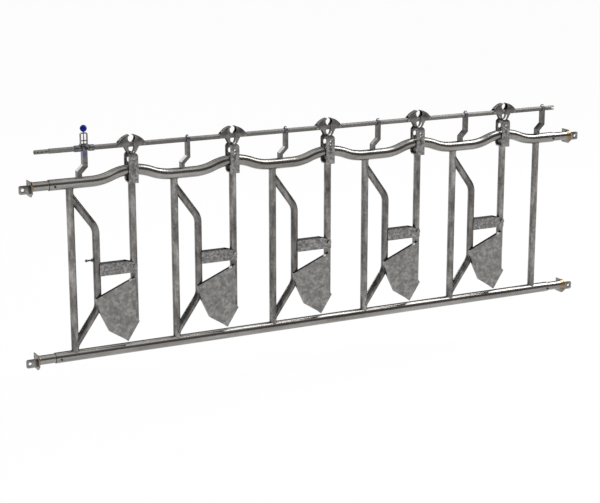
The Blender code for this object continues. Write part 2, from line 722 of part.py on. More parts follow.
def build_rail_hook(index, offset, count=1):
    eye = post_x(index) + offset
    foot = eye - HOOK_JOG
    rise, width = (LOCK_CHEEK_RISE, LOCK_HOOK_WIDTH) if index == 0 else (HOOK_CHEEK_RISE, HOOK_WIDTH)
    outline = hook_outline(eye, foot, RAIL_HEIGHT + rise, width)
    hook = plate("hook", outline, -HOOK_OUTER, HOOK_OUTER)
    shifted = [(x + HOOK_SHEET, z) for x, z in outline]
    hollow = [(x, z - CUT_MARGIN) if number < 2 else (x, z) for number, (x, z) in enumerate(shifted)]
    hollow = [(x, z + CUT_MARGIN) if number in (4, 5) else (x, z) for number, (x, z) in enumerate(hollow)]
    cut(hook, plate("hook_hollow", hollow, -HOOK_INNER, HOOK_INNER))
    cut(hook, top_cutter())
    rail_line = in_panel([(eye - width, RAIL_HEIGHT), (eye + width, RAIL_HEIGHT)])
    cut(hook, swept("rail_cutter", rail_line, RAIL_BORE))
    low_side = (eye - width, -HOOK_INNER, RAIL_HEIGHT)
    high_side = (eye + width, HOOK_INNER, RAIL_HEIGHT + HOOK_OUTER + CUT_MARGIN)
    cut(hook, box("mouth", low_side, high_side))
    if index > 0:
        join(hook, build_curl(eye))
    repeat(finish(hook, f"rail_hook_{index + 1}", steel, (eye, 0, RAIL_HEIGHT), smooth=False), count)


def build_control_rail():
    left, right = FIRST_POST - RAIL_LEFT, LAST_POST + RAIL_RIGHT
    length = right - left
    bore, spigot_bore = RAIL_RADIUS - RAIL_WALL, SPIGOT_RADIUS - RAIL_WALL
    profile = [(spigot_bore, -SPIGOT_OUT), (SPIGOT_RADIUS, -SPIGOT_OUT), (SPIGOT_RADIUS, 0.0),
               (RAIL_RADIUS, 0.0), (RAIL_RADIUS, length), (bore, length), (bore, SPIGOT_IN),
               (spigot_bore, SPIGOT_IN)]
    rail = turned("rail", profile, (left, 0, RAIL_HEIGHT), (1, 0, 0), RAIL_SIDES)
    reach = LATCH_OUTER_Y + LATCH_SHEET
    rivets = []
    for index in range(PLACES):
        for side in (-1, 1):
            x = bar_x(index) + side * LATCH_PIVOT_OFFSET
            rivets.append(cylinder("rivet", (x, -reach, RAIL_HEIGHT), (x, reach, RAIL_HEIGHT), LATCH_PIN))
    join(rail, gather("rivets", rivets))
    half = RAIL_SLOT_HEIGHT / 2
    cut(rail, box("end_slot", (right - RAIL_SLOT_DEPTH, -2 * RAIL_RADIUS, RAIL_HEIGHT - half),
                  (right + CUT_MARGIN, 2 * RAIL_RADIUS, RAIL_HEIGHT + half)))
    finish(rail, "control_rail", steel, (left, 0, RAIL_HEIGHT))


def latch_shapes():
    """Outline and hollow of the left half-moon in X and Z, about the bar's plane and the rail's axis."""
    pivot = -LATCH_PIVOT_OFFSET
    corner = arc((pivot, 0.0), LATCH_CORNER, -math.pi / 2, -math.pi / 2 - LATCH_CORNER_TURN, ARC_SEGMENTS)
    top = (-LATCH_TIP_OFFSET, LATCH_TOP)
    centre, radius = circle_through(corner[-1], RIM_MIDDLE, top)
    first = math.atan2(corner[-1][1] - centre[1], corner[-1][0] - centre[0]) % (2 * math.pi)
    last = math.atan2(top[1] - centre[1], top[0] - centre[0])
    rim = arc(centre, radius, first, last, RIM_STEPS)[1:]
    hook = [(-LATCH_TIP_OFFSET, LATCH_TOP - LATCH_TIP_DROP)]
    notch = arc((0.0, LATCH_NOTCH_HEIGHT), LATCH_NOTCH_RADIUS, NOTCH_START, NOTCH_END, ARC_SEGMENTS)
    inner = [(-LATCH_INNER, RAIL_RADIUS + LATCH_SHEET), (-LATCH_INNER, -RAIL_RADIUS / 2)]
    inner += LEG_INNER_POINTS
    inner += [(-LEG_TIP_INNER, -LEG_TIP_DEPTH), (-LEG_TIP_INNER - LEG_TIP_WIDTH, -LEG_TIP_DEPTH)]
    outer = LEG_OUTER_POINTS + [(-LEG_ROOT_OUTER, -LATCH_CORNER)]
    web_start = math.pi - math.asin((WEB_LOW_END - centre[1]) / (radius - LATCH_SHEET))
    web = arc(centre, radius - LATCH_SHEET, web_start, last - WEB_TOP_GAP, RIM_STEPS)
    low, far = -LEG_TIP_DEPTH - CUT_MARGIN, pivot - LATCH_CORNER - CUT_MARGIN
    hollow = [(far, low), (far, web[0][1])] + web + [(web[-1][0], low)]
    return corner + rim + hook + notch + inner + outer, hollow


def build_latch(side):
    """One half-moon: two cheeks over the rail, joined by a web along the round rim."""
    x = bar_x(0)
    outline, hollow = [[(x - side * across, RAIL_HEIGHT + up) for across, up in shape]
                       for shape in latch_shapes()]
    latch = plate("latch", outline, -LATCH_OUTER_Y, LATCH_OUTER_Y)
    cut(latch, plate("latch_hollow", hollow, -LATCH_INNER_Y, LATCH_INNER_Y))
    pivot = x + side * LATCH_PIVOT_OFFSET
    wide = LATCH_OUTER_Y + CUT_MARGIN
    rivet_line = (pivot, -wide, RAIL_HEIGHT), (pivot, wide, RAIL_HEIGHT)
    cut(latch, cylinder("rivet_hole", *rivet_line, LATCH_PIN + GAP))
    word = "left" if side < 0 else "right"
    repeat(finish(latch, f"latch_{word}_1", steel, (pivot, 0, RAIL_HEIGHT), smooth=False), PLACES)


def build_collar(name, start, end):
    bore, length = RAIL_RADIUS + GAP, end - start
    profile = [(bore, 0.0), (COLLAR_RADIUS, 0.0), (COLLAR_RADIUS, length), (bore, length)]
    collar = turned("collar", profile, (start, 0, RAIL_HEIGHT), (1, 0, 0), RAIL_SIDES)
    finish(collar, name, steel, (start, 0, RAIL_HEIGHT))


def build_release_lock():
    eye = post_x(0) + LOCK_HOOK_OFFSET
    left, right = eye - LOCK_HOOK_WIDTH / 2 - LEFT_COLLAR_GAP, eye + LOCK_HOOK_WIDTH / 2 + RIGHT_COLLAR_GAP
    build_collar("rail_collar_left", left - LEFT_COLLAR_LENGTH, left)
    build_collar("rail_collar_right", right, right + RIGHT_COLLAR_LENGTH)

    half, deep = STIRRUP_WIDTH / 2, STIRRUP_DEPTH / 2
    base = RAIL_HEIGHT + LOCK_CHEEK_RISE + GAP
    floor = base + STIRRUP_BASE
    top = base + STIRRUP_HEIGHT
    root = base + STIRRUP_BASE / 2
    hoop = [(eye - half, root), (eye - half, top - STIRRUP_BAR), (eye - half + STIRRUP_BAR, top),
            (eye + half - STIRRUP_BAR, top), (eye + half, top - STIRRUP_BAR), (eye + half, root)]
    stirrup = plate("stirrup", hoop, -deep, deep)
    inside = half - STIRRUP_BAR
    cross = floor + STIRRUP_CROSS_HEIGHT
    windows = [box("window", (eye - inside, -HOOK_OUTER, low), (eye + inside, HOOK_OUTER, high))
               for low, high in ((base, cross - STIRRUP_BASE), (cross, top - STIRRUP_BAR))]
    cut(stirrup, gather("stirrup_windows", windows))
    foot = half + STIRRUP_FOOT
    join(stirrup, box("foot_plate", (eye - foot, -HOOK_OUTER, base), (eye + foot, HOOK_OUTER, floor)))
    rod_line = (eye, 0, base - CUT_MARGIN), (eye, 0, top + CUT_MARGIN)
    cut(stirrup, cylinder("rod_way", *rod_line, PLUNGER_RADIUS + GAP))
    finish(stirrup, "lock_stirrup", zinc, (eye, 0, base))

    knob_low = top + KNOB_CLEARANCE
    knob_centre = knob_low + KNOB_RADIUS
    rod_low = RAIL_HEIGHT + RAIL_RADIUS + GAP
    rod_top = knob_low + KNOB_BORE_DEPTH
    ring_low = floor + GAP - rod_low
    ring_top = ring_low + PLUNGER_RING
    profile = [(0.0, rod_top - rod_low), (PLUNGER_RADIUS, rod_top - rod_low), (PLUNGER_RADIUS, ring_top),
               (PLUNGER_RING_RADIUS, ring_top), (PLUNGER_RING_RADIUS, ring_low), (PLUNGER_RADIUS, ring_low),
               (PLUNGER_RADIUS, 0.0), (0.0, 0.0)]
    plunger = turned("plunger", profile, (eye, 0, rod_low), (0, 0, 1))
    finish(plunger, "release_plunger", zinc, (eye, 0, rod_low))

    ball = bmesh.new()
    bmesh.ops.create_uvsphere(ball, u_segments=14, v_segments=8, radius=KNOB_RADIUS,
                              matrix=Matrix.Translation((eye, 0, knob_centre)))
    knob = from_bmesh("knob", ball)
    cut(knob, cylinder("knob_bore", (eye, 0, knob_low - CUT_MARGIN), (eye, 0, rod_top + GAP),
                       PLUNGER_RADIUS + GAP))
    finish(knob, "release_knob", blue_plastic, (eye, 0, knob_centre))


for leftover in list(bpy.data.objects):
    bpy.data.objects.remove(leftover)
bpy.context.scene.collection.children.link(parts)
bpy.context.scene.collection.children.link(cutters)
panel = bpy.data.objects.new("panel", None)
panel.location = (0, MID_PLANE, 0)
parts.objects.link(panel)

steel = make_material("galvanised_steel", (0.36, 0.35, 0.33), 0.85, 0.45)
zinc = make_material("plated_fasteners", (0.42, 0.40, 0.34), 0.9, 0.35)
blue_plastic = make_material("blue_ball", (0.008, 0.025, 0.30), 0.0, 0.3)

build_main_tubes()
build_posts()
build_bent_tubes()
build_stud()
build_end_fitting("end_fitting_lower_left", -1, 0.0, 0.0)
build_end_fitting("end_fitting_upper_left", -1, TUBE_SPACING, 0.0)
build_end_fitting("end_fitting_lower_right", 1, 0.0, 0.0)
build_end_fitting("end_fitting_upper_right", 1, TUBE_SPACING, UPPER_RIGHT_LIFT)
build_swing_bar()
build_paddle()
build_pivot_arm()
build_pivot_bolt()
build_latch(-1)
build_latch(1)
build_rail_hook(0, LOCK_HOOK_OFFSET)
build_rail_hook(1, HOOK_OFFSET, PLACES - 1)
build_rail_hook(PLACES, LAST_HOOK_OFFSET)
build_control_rail()
build_release_lock()
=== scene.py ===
# Looks of the five-place self-locking headlock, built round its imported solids.
import math

import bmesh
import bpy
from mathutils import Matrix, Vector


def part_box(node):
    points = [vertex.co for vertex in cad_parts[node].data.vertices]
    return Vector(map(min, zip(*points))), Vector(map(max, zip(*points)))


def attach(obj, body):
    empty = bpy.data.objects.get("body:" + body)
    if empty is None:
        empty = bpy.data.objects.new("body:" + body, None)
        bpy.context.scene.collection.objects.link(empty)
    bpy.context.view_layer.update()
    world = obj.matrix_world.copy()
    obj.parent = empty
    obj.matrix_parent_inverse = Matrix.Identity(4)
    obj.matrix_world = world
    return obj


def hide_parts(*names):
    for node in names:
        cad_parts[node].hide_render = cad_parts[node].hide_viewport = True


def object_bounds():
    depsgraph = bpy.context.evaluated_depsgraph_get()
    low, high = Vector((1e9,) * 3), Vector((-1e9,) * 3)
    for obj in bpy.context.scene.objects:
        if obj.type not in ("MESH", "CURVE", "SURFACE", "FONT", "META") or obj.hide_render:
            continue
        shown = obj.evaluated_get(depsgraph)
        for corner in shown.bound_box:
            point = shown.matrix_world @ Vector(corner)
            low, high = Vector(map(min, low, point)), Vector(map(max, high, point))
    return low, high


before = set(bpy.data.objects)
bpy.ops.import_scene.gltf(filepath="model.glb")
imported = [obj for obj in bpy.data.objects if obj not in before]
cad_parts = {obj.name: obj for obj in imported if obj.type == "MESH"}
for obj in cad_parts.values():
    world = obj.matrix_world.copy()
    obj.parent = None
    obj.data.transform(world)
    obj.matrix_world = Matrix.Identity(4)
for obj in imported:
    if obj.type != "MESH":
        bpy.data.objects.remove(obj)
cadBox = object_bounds()
scene = bpy.context.scene
scene.view_settings.view_transform = "Standard"


# Where things are, read from the solids

def middleOf(node):
    low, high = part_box(node)
    return (low + high) / 2


places = 5
postX = [middleOf(f"post_{n + 1}").x for n in range(places + 1)]
barX = [middleOf(f"pivot_bolt_{n + 1}").x for n in range(places)]
midY = middleOf("post_1").y
railZ = middleOf("rail_collar_left").z
bottomZ = middleOf("bottom_tube").z
mainRadius = (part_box("bottom_tube")[1].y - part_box("bottom_tube")[0].y) / 2
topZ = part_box("top_tube")[0].z + mainRadius
tubeEnds = (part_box("bottom_tube")[0].x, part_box("bottom_tube")[1].x)
postRadius = (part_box("post_1")[1].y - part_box("post_1")[0].y) / 2
railRadius = (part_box("control_rail")[1].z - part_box("control_rail")[0].z) / 2


# Nodes and materials

def setInputs(tree, node, inputs):
    for key, value in inputs.items():
        if isinstance(value, bpy.types.Node):  # a node stands for its first output
            value = value.outputs[0]
        if isinstance(value, bpy.types.NodeSocket):
            tree.links.new(value, node.inputs[key])
        else:
            node.inputs[key].default_value = value


def addNode(tree, kind, inputs=None, **settings):
    node = tree.nodes.new(kind)
    for key, value in settings.items():
        setattr(node, key, value)
    setInputs(tree, node, inputs or {})
    return node


def linear(hexColour):
    found = []
    for start in (1, 3, 5):
        value = int(hexColour[start:start + 2], 16) / 255
        found.append(value / 12.92 if value <= 0.04045 else ((value + 0.055) / 1.055) ** 2.4)
    return (*found, 1.0)


def setRamp(node, places, colours):
    ramp = node.color_ramp
    while len(ramp.elements) < len(places):
        ramp.elements.new(0.5)
    for element, place, colour in zip(ramp.elements, places, colours):
        element.position = place
        element.color = linear(colour)


def newMaterial(name):
    material = bpy.data.materials.new(name)
    material.use_nodes = True
    return material, material.node_tree, material.node_tree.nodes["Principled BSDF"]


# Zinc on steel: long or blotchy clouds, crystal cells and fine grain.
def makeZinc(name, look):
    material, tree, shader = newMaterial(name)
    given = addNode(tree, "ShaderNodeTexCoord").outputs
    coords, cellSize, share = given["Object"], look["cellSize"], look["cellShare"]
    long = addNode(tree, "ShaderNodeMapping", {"Vector": coords, "Scale": look["stretch"]})
    clouds = addNode(tree, "ShaderNodeTexNoise",
                     {"Vector": long, "Scale": 1 / look["cloudSize"], "Detail": 5.0, "Roughness": 0.62})
    bend = addNode(tree, "ShaderNodeTexNoise", {"Vector": coords, "Scale": 2 / cellSize, "Detail": 2.0})
    push = addNode(tree, "ShaderNodeVectorMath", {0: bend.outputs["Color"], "Scale": cellSize * 0.6},
                   operation="SCALE")
    moved = addNode(tree, "ShaderNodeVectorMath", {0: coords, 1: push}, operation="ADD")
    cells = addNode(tree, "ShaderNodeTexVoronoi", {"Vector": moved, "Scale": 1 / cellSize})
    tone = addNode(tree, "ShaderNodeSeparateColor", {0: cells.outputs["Color"]})
    cellPart = addNode(tree, "ShaderNodeMath", {0: tone, 1: share}, operation="MULTIPLY")
    mixed = addNode(tree, "ShaderNodeMath", {0: clouds, 1: 1 - share, 2: cellPart}, operation="MULTIPLY_ADD")
    colour = addNode(tree, "ShaderNodeValToRGB", {0: mixed})
    setRamp(colour, (0.30, 0.50, 0.70), look["colours"])
    if "stain" in look:  # a round patch at one place
        far = addNode(tree, "ShaderNodeVectorMath", {0: coords, 1: look["stainAt"]}, operation="DISTANCE")
        fade = addNode(tree, "ShaderNodeMapRange", {0: far.outputs["Value"], 1: look["stainSize"] * 0.5,
                                                    2: look["stainSize"], 3: 0.65, 4: 0.0})
        colour = addNode(tree, "ShaderNodeMix", {0: fade, 6: colour, 7: linear(look["stain"])},
                         data_type="RGBA").outputs[2]
    if "paintedTopShade" in look:  # painted shade on what faces up
        # the colour is mixed towards a dark tone on faces that point up: painted shade
        up = addNode(tree, "ShaderNodeSeparateXYZ", {0: given["Normal"]}).outputs["Z"]
        facing = addNode(tree, "ShaderNodeMapRange", {0: up, 1: 0.70, 2: 0.80, 3: 0.0, 4: 0.92})
        colour = addNode(tree, "ShaderNodeMix", {0: facing, 6: colour, 7: linear(look["paintedTopShade"])},
                         data_type="RGBA").outputs[2]
    grain = addNode(tree, "ShaderNodeTexNoise",
                    {"Vector": coords, "Scale": 1 / look["grainSize"], "Detail": 3.0})
    height = addNode(tree, "ShaderNodeMath", {0: grain, 1: 0.5, 2: cellPart}, operation="MULTIPLY_ADD")
    low, high = look["rough"]
    rough = addNode(tree, "ShaderNodeMapRange", {0: mixed, 1: 0.25, 2: 0.75, 3: low, 4: high})
    bump = addNode(tree, "ShaderNodeBump",
                   {"Height": height, "Strength": look["bump"], "Distance": look["grainSize"] * 0.2})
    setInputs(tree, shader, {"Metallic": 1.0, "Base Color": colour, "Roughness": rough, "Normal": bump})
    return material


# Moulded plastic: a barely uneven skin with a few scuffs.
def makePlastic(name, look):
    material, tree, shader = newMaterial(name)
    coords = addNode(tree, "ShaderNodeTexCoord").outputs["Object"]
    scuffs = addNode(tree, "ShaderNodeTexNoise",
                     {"Vector": coords, "Scale": 1 / look["scuffSize"], "Detail": 4.0})
    colour = addNode(tree, "ShaderNodeValToRGB", {0: scuffs})
    setRamp(colour, (0.35, 0.75), look["colours"])
    low, high = look["rough"]
    rough = addNode(tree, "ShaderNodeMapRange", {0: scuffs, 1: 0.3, 2: 0.8, 3: low, 4: high})
    bump = addNode(tree, "ShaderNodeBump", {"Height": scuffs, "Strength": 0.15, "Distance": 0.0004})
    setInputs(tree, shader, {"Specular IOR Level": look["gloss"], "Base Color": colour,
                             "Roughness": rough, "Normal": bump})
    return material


# every look: dark, middle and light tone, then the sizes of clouds, crystals and grain in metres;
# the real grain is finer, and is drawn this coarse so that it shows
alongX, alongZ, noStretch = (0.10, 1.0, 1.0), (1.0, 1.0, 0.30), (1.0, 1.0, 1.0)
tubeLook = {"colours": ("#75726E", "#8D8A86", "#A3A19E"), "stretch": alongX, "cloudSize": 0.045,
            "cellSize": 0.016, "cellShare": 0.08, "grainSize": 0.0030, "rough": (0.19, 0.24), "bump": 0.010}
plateLook = {"colours": ("#777572", "#888683", "#999794"), "stretch": noStretch, "cloudSize": 0.030,
             "cellSize": 0.020, "cellShare": 0.30, "grainSize": 0.0025, "rough": (0.28, 0.40), "bump": 0.06}
uprightLook = {**tubeLook, "stretch": alongZ, "rough": (0.26, 0.40)}
hookLook = {**plateLook, "colours": ("#535150", "#615F5D", "#73716F"), "rough": (0.15, 0.24)}
hookLow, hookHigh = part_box("rail_hook_1")

# hot-dip galvanised tube, drawn along the panel
zincTubeAlongX = makeZinc("hotDipGalvanisedTubeAlongX", tubeLook)
# hot-dip galvanised tube, drawn upwards, with dull patches
zincTubeUpright = makeZinc("hotDipGalvanisedTubeUpright", {
    **uprightLook, "colours": ("#4E4C4A", "#7F7C79", "#B3B1AE")})
# the same tube bent, a little darker
zincTubeBent = makeZinc("hotDipGalvanisedTubeBent", {
    **uprightLook, "colours": ("#4C4A48", "#757270", "#A09E9B")})
# duller and darker zinc of the thin rail
zincRail = makeZinc("dullGalvanisedRail", {
    **tubeLook, "colours": ("#716E6B", "#858380", "#9A9895"), "rough": (0.60, 0.72)})
# hot-dip galvanised sheet and plate with small crystals
zincPlate = makeZinc("hotDipGalvanisedPlate", plateLook)
# blotchier zinc of the paddles, with painted shade darkening their up-facing top flanges
zincBlotchyWithPaintedTopShade = makeZinc("blotchyGalvanisedPlateWithPaintedTopShade", {
    **plateLook, "colours": ("#6C6A6B", "#868482", "#A6A39E"), "cloudSize": 0.046, "cellSize": 0.016,
    "cellShare": 0.25, "paintedTopShade": "#2B2A28"})
# speckled zinc of the pivot arms and fork heads
zincSpeckled = makeZinc("speckledGalvanisedPlate", {
    **plateLook, "colours": ("#605E5C", "#838180", "#A9A7A4"), "cloudSize": 0.020, "cellSize": 0.012})
# darker zinc of the half-moon latches
zincLatch = makeZinc("darkGalvanisedLatch", {**plateLook, "colours": ("#656361", "#757371", "#878583")})
# smoother zinc of the bent rail hooks
zincHook = makeZinc("smoothGalvanisedHook", hookLook)
# the same zinc with the violet stain under the rail of the first hook
stainedHook = makeZinc("violetStainedHook", {
    **hookLook, "stain": "#5A5594", "stainSize": 0.026,
    "stainAt": (hookHigh.x - 0.030, hookLow.y, railZ - 0.032)})
# polished heads of the small bolts on the paddles
polishedZinc = makeZinc("polishedZincHead", {
    **plateLook, "colours": ("#A19F9A", "#C0BEB9", "#DFDDD8"), "rough": (0.16, 0.26), "cellSize": 0.004})
# bright zinc of pivot bolts, rivets and the plunger
brightZinc = makeZinc("brightZincHardware", {
    **plateLook, "colours": ("#77756F", "#888683", "#BDBBB4"), "rough": (0.25, 0.40), "cellSize": 0.004})
# weathered zinc of the adjusting stud and the lock's stirrup
darkStud = makeZinc("weatheredStudZinc", {
    **plateLook, "colours": ("#585653", "#74726F", "#92908C"), "cellSize": 0.004})
# dark oily hardware of the set screws and the foot of the release lock; in the tube mouths the same dark zinc
# is painted shade
oilyZincAndPaintedMouthShade = makeZinc("oilyDarkHardwareAndPaintedMouthShade", {**plateLook, "colours": ("#1E1D20", "#34333A", "#4B4A50")})
# yellow chromated zinc where the sleeves were welded to their flanges
yellowZinc = makeZinc("yellowChromatedZinc", {**plateLook, "colours": ("#6F5C45", "#96805F", "#B8A683")})
# violet-tinted zinc of the rail's collars
tintedZinc = makeZinc("violetTintedZinc", {**plateLook, "colours": ("#5A585B", "#6F6D71", "#878589")})
# weld beads, darker and rougher than the tube; on the latch rims the same darker zinc is painted shade
weldAndPaintedRimShadeZinc = makeZinc("galvanisedWeldBeadAndPaintedRimShade", {
    **plateLook, "colours": ("#5D5A56", "#888683", "#999794"), "rough": (0.50, 0.70), "cellSize": 0.005})
# deep blue ball of moulded plastic
bluePlastic = makePlastic("deepBluePlastic", {
    "colours": ("#02157A", "#08208C"), "scuffSize": 0.012, "rough": (0.30, 0.42), "gloss": 0.15})
# violet plastic bush that guides the rail
violetPlastic = makePlastic("violetBushPlastic", {
    "colours": ("#2B2842", "#3A3653"), "scuffSize": 0.008, "rough": (0.38, 0.52), "gloss": 0.4})
print("materials made")


# Shapes

roundSteps = 40  # faces round a tube, a ring or a seam


def newObject(name, data):
    made = bpy.data.objects.new(name, data)
    scene.collection.objects.link(made)
    return made


def meshObject(name, shape):
    mesh = bpy.data.meshes.new(name)
    shape.to_mesh(mesh)
    shape.free()
    return newObject(name, mesh)


def plainMesh(source):
    bpy.context.view_layer.update()
    graph = bpy.context.evaluated_depsgraph_get()
    shape = bmesh.new()
    shape.from_mesh(bpy.data.meshes.new_from_object(source.evaluated_get(graph)))
    shape.transform(source.matrix_world)
    bmesh.ops.remove_doubles(shape, verts=shape.verts, dist=1e-6)
    bmesh.ops.recalc_face_normals(shape, faces=shape.faces)
    name = source.name
    bpy.data.objects.remove(source)
    return meshObject(name, shape)


# One finished piece from several shapes: named, smooth, in its material, on its body.
def finishPiece(name, shapes, material, body, replaced=()):
    whole = bmesh.new()
    for shape in shapes:
        whole.from_mesh(shape.data)
        bpy.data.objects.remove(shape)
    piece = meshObject(name, whole)
    piece.data.materials.clear()
    piece.data.materials.append(material)
    for face in piece.data.polygons:
        face.material_index = 0
    piece.data.shade_smooth()
    piece.data.set_sharp_from_angle(angle=math.radians(35))
    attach(piece, body)
    if replaced:
        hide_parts(*replaced)


def arcPoints(centre, radius, start, end, steps):
    angles = [start + (end - start) * step / steps for step in range(steps + 1)]
    return [(centre[0] + radius * math.cos(angle), centre[1] + radius * math.sin(angle)) for angle in angles]


def roundHole(centre, radius, steps):
    return arcPoints(centre, radius, 0.0, 2 * math.pi, steps)[:-1]


# Points on a circle in space, in the plane of two unit vectors.
def ringPoints(centre, radius, across=(0, 1, 0), up=(0, 0, 1)):
    centre, across, up = Vector(centre), Vector(across), Vector(up)
    angles = [2 * math.pi * step / roundSteps for step in range(roundSteps)]
    return [centre + (across * math.cos(angle) + up * math.sin(angle)) * radius for angle in angles]


# A run of corners in X and Z with all but its ends rounded off.
def roundedRun(corners, radius, steps):
    found = [corners[0]]
    for before, corner, after in zip(corners, corners[1:], corners[2:]):
        here = Vector(corner)
        back, ahead = (Vector(before) - here).normalized(), (Vector(after) - here).normalized()
        half = back.angle(ahead) / 2
        centre = here + (back + ahead).normalized() * radius / math.sin(half)
        reach = radius / math.tan(half)
        start, end = here + back * reach - centre, here + ahead * reach - centre
        first = math.atan2(start.y, start.x)
        found += arcPoints(centre, radius, first, first - start.angle_signed(end), steps)
    return found + [corners[-1]]


def inPanel(points):
    return [(x, midY, z) for x, z in points]


def pathCurve(name, paths, cyclic=False):
    curve = bpy.data.curves.new(name, "CURVE")
    curve.dimensions = "3D"
    for path in paths:
        spline = curve.splines.new("POLY")
        spline.points.add(len(path) - 1)
        spline.use_cyclic_u = cyclic
        for target, point in zip(spline.points, path):
            target.co = (*point, 1.0)
    return newObject(name, curve)


# A plate cut from outlines, the first solid and the rest holes, with its edges broken.
def plateShape(outlines, low, high, plane="XZ", edge=0.0006):
    curve = bpy.data.curves.new("plate", "CURVE")
    curve.dimensions = "2D"
    curve.fill_mode = "BOTH"
    curve.extrude = (high - low) / 2 - edge
    curve.bevel_depth = edge
    curve.bevel_resolution = 1
    curve.offset = -edge
    for outline in outlines:
        spline = curve.splines.new("POLY")
        spline.points.add(len(outline) - 1)
        spline.use_cyclic_u = True
        for target, (across, up) in zip(spline.points, outline):
            target.co = (across, up, 0.0, 1.0)
    made = newObject("plate", curve)
    if plane == "XZ":
        turn = Matrix.Rotation(math.pi / 2, 4, "X")
        made.matrix_world = Matrix.Translation((0, (low + high) / 2, 0)) @ turn
    else:
        turn = Matrix.Rotation(math.pi / 2, 4, "Z") @ Matrix.Rotation(math.pi / 2, 4, "X")
        made.matrix_world = Matrix.Translation(((low + high) / 2, 0, 0)) @ turn
    return plainMesh(made)


# Profiles of a solid disc and of a band round a bore, in radius and length.
def discProfile(radius, end, start=0.0):
    return [(0.0, start), (radius, start), (radius, end), (0.0, end)]


def bandProfile(bore, radius, edge, long):
    return [(bore, 0.0), (radius - edge, 0.0), (radius, edge), (radius, long - edge), (radius - edge, long),
            (bore, long)]


# A body turned round an axis from radius and length pairs.
def turnedShape(profile, start, direction, sides=roundSteps):
    mesh = bpy.data.meshes.new("turned")
    ring = profile[0][0] > 0
    edges = [(n, (n + 1) % len(profile)) for n in range(len(profile) if ring else len(profile) - 1)]
    mesh.from_pydata([(radius, 0.0, length) for radius, length in profile], edges, [])
    made = newObject("turned", mesh)
    screw = made.modifiers.new("turn", "SCREW")
    screw.angle = 2 * math.pi
    screw.steps = screw.render_steps = sides
    screw.use_merge_vertices = True
    screw.merge_threshold = 1e-6
    turn = Vector(direction).to_track_quat("Z", "Y").to_matrix().to_4x4()
    made.matrix_world = Matrix.Translation(start) @ turn
    return plainMesh(made)


# Geometry node trees

def newTree(name, **sizes):
    tree = bpy.data.node_groups.new(name, "GeometryNodeTree")
    for label, kind in {"Geometry": "Geometry", **sizes, "Material": "Material"}.items():
        tree.interface.new_socket(label, in_out="INPUT", socket_type="NodeSocket" + kind)
    tree.interface.new_socket("Geometry", in_out="OUTPUT", socket_type="NodeSocketGeometry")
    return tree, addNode(tree, "NodeGroupInput").outputs


def closeTree(tree, given, made):
    real = addNode(tree, "GeometryNodeRealizeInstances", {"Geometry": made})
    dressed = addNode(tree, "GeometryNodeSetMaterial", {"Geometry": real, "Material": given["Material"]})
    addNode(tree, "NodeGroupOutput", {"Geometry": dressed})
    return tree


# The same shape on chosen ends of every path, turned along it.
def onEnds(tree, path, shape, starts, ends):
    tangent = addNode(tree, "GeometryNodeInputTangent")
    facing = addNode(tree, "FunctionNodeAlignRotationToVector", {"Vector": tangent}, axis="Z")
    chosen = addNode(tree, "GeometryNodeCurveEndpointSelection", {"Start Size": starts, "End Size": ends})
    return addNode(tree, "GeometryNodeInstanceOnPoints",
                   {"Points": path, "Selection": chosen, "Instance": shape, "Rotation": facing})


# Hollow round tube along every path, with flat rims at both ends.
def makeTubeTree():
    tree, given = newTree("tubeAlongPaths", Radius="Float", Bore="Float", Sides="Int")
    path = given["Geometry"]
    rings = addNode(tree, "GeometryNodeJoinGeometry")
    walls = []
    for size in ("Radius", "Bore"):
        ring = addNode(tree, "GeometryNodeCurvePrimitiveCircle",
                       {"Resolution": given["Sides"], "Radius": given[size]})
        tree.links.new(ring.outputs[0], rings.inputs[0])
        walls.append(addNode(tree, "GeometryNodeCurveToMesh", {"Curve": path, "Profile Curve": ring}))
    turned = addNode(tree, "GeometryNodeFlipFaces", {"Mesh": walls[1]})
    rim = addNode(tree, "GeometryNodeFillCurve", {"Curve": rings})
    rims = onEnds(tree, path, rim, starts=1, ends=1)
    whole = addNode(tree, "GeometryNodeJoinGeometry")
    for part in (walls[0], turned, rims):
        tree.links.new(part.outputs[0], whole.inputs[0])
    return closeTree(tree, given, whole)


# Weld bead along every loop: a ripple every few millimetres, whose width wanders.
weld = {"bead": 0.003, "ripple": 0.003, "narrow": 0.72, "wide": 1.18, "sides": 7}


def makeWeldTree():
    tree, given = newTree("weldAlongLoops", Bead="Float", Ripple="Float")
    even = addNode(tree, "GeometryNodeResampleCurve",
                   {"Curve": given["Geometry"], "Length": given["Ripple"]}, mode="LENGTH")
    wander = addNode(tree, "FunctionNodeRandomValue", {2: weld["narrow"], 3: weld["wide"], "Seed": 0},
                     data_type="FLOAT").outputs[1]
    width = addNode(tree, "GeometryNodeSetCurveRadius", {"Curve": even, "Radius": wander})
    ring = addNode(tree, "GeometryNodeCurvePrimitiveCircle",
                   {"Resolution": weld["sides"], "Radius": given["Bead"]})
    bead = addNode(tree, "GeometryNodeCurveToMesh", {"Curve": width, "Profile Curve": ring, "Scale": wander})
    return closeTree(tree, given, bead)


# Screw thread wound round every straight path.
thread = {"turnSteps": 14, "ridgeSides": 4, "depthShare": 0.45}


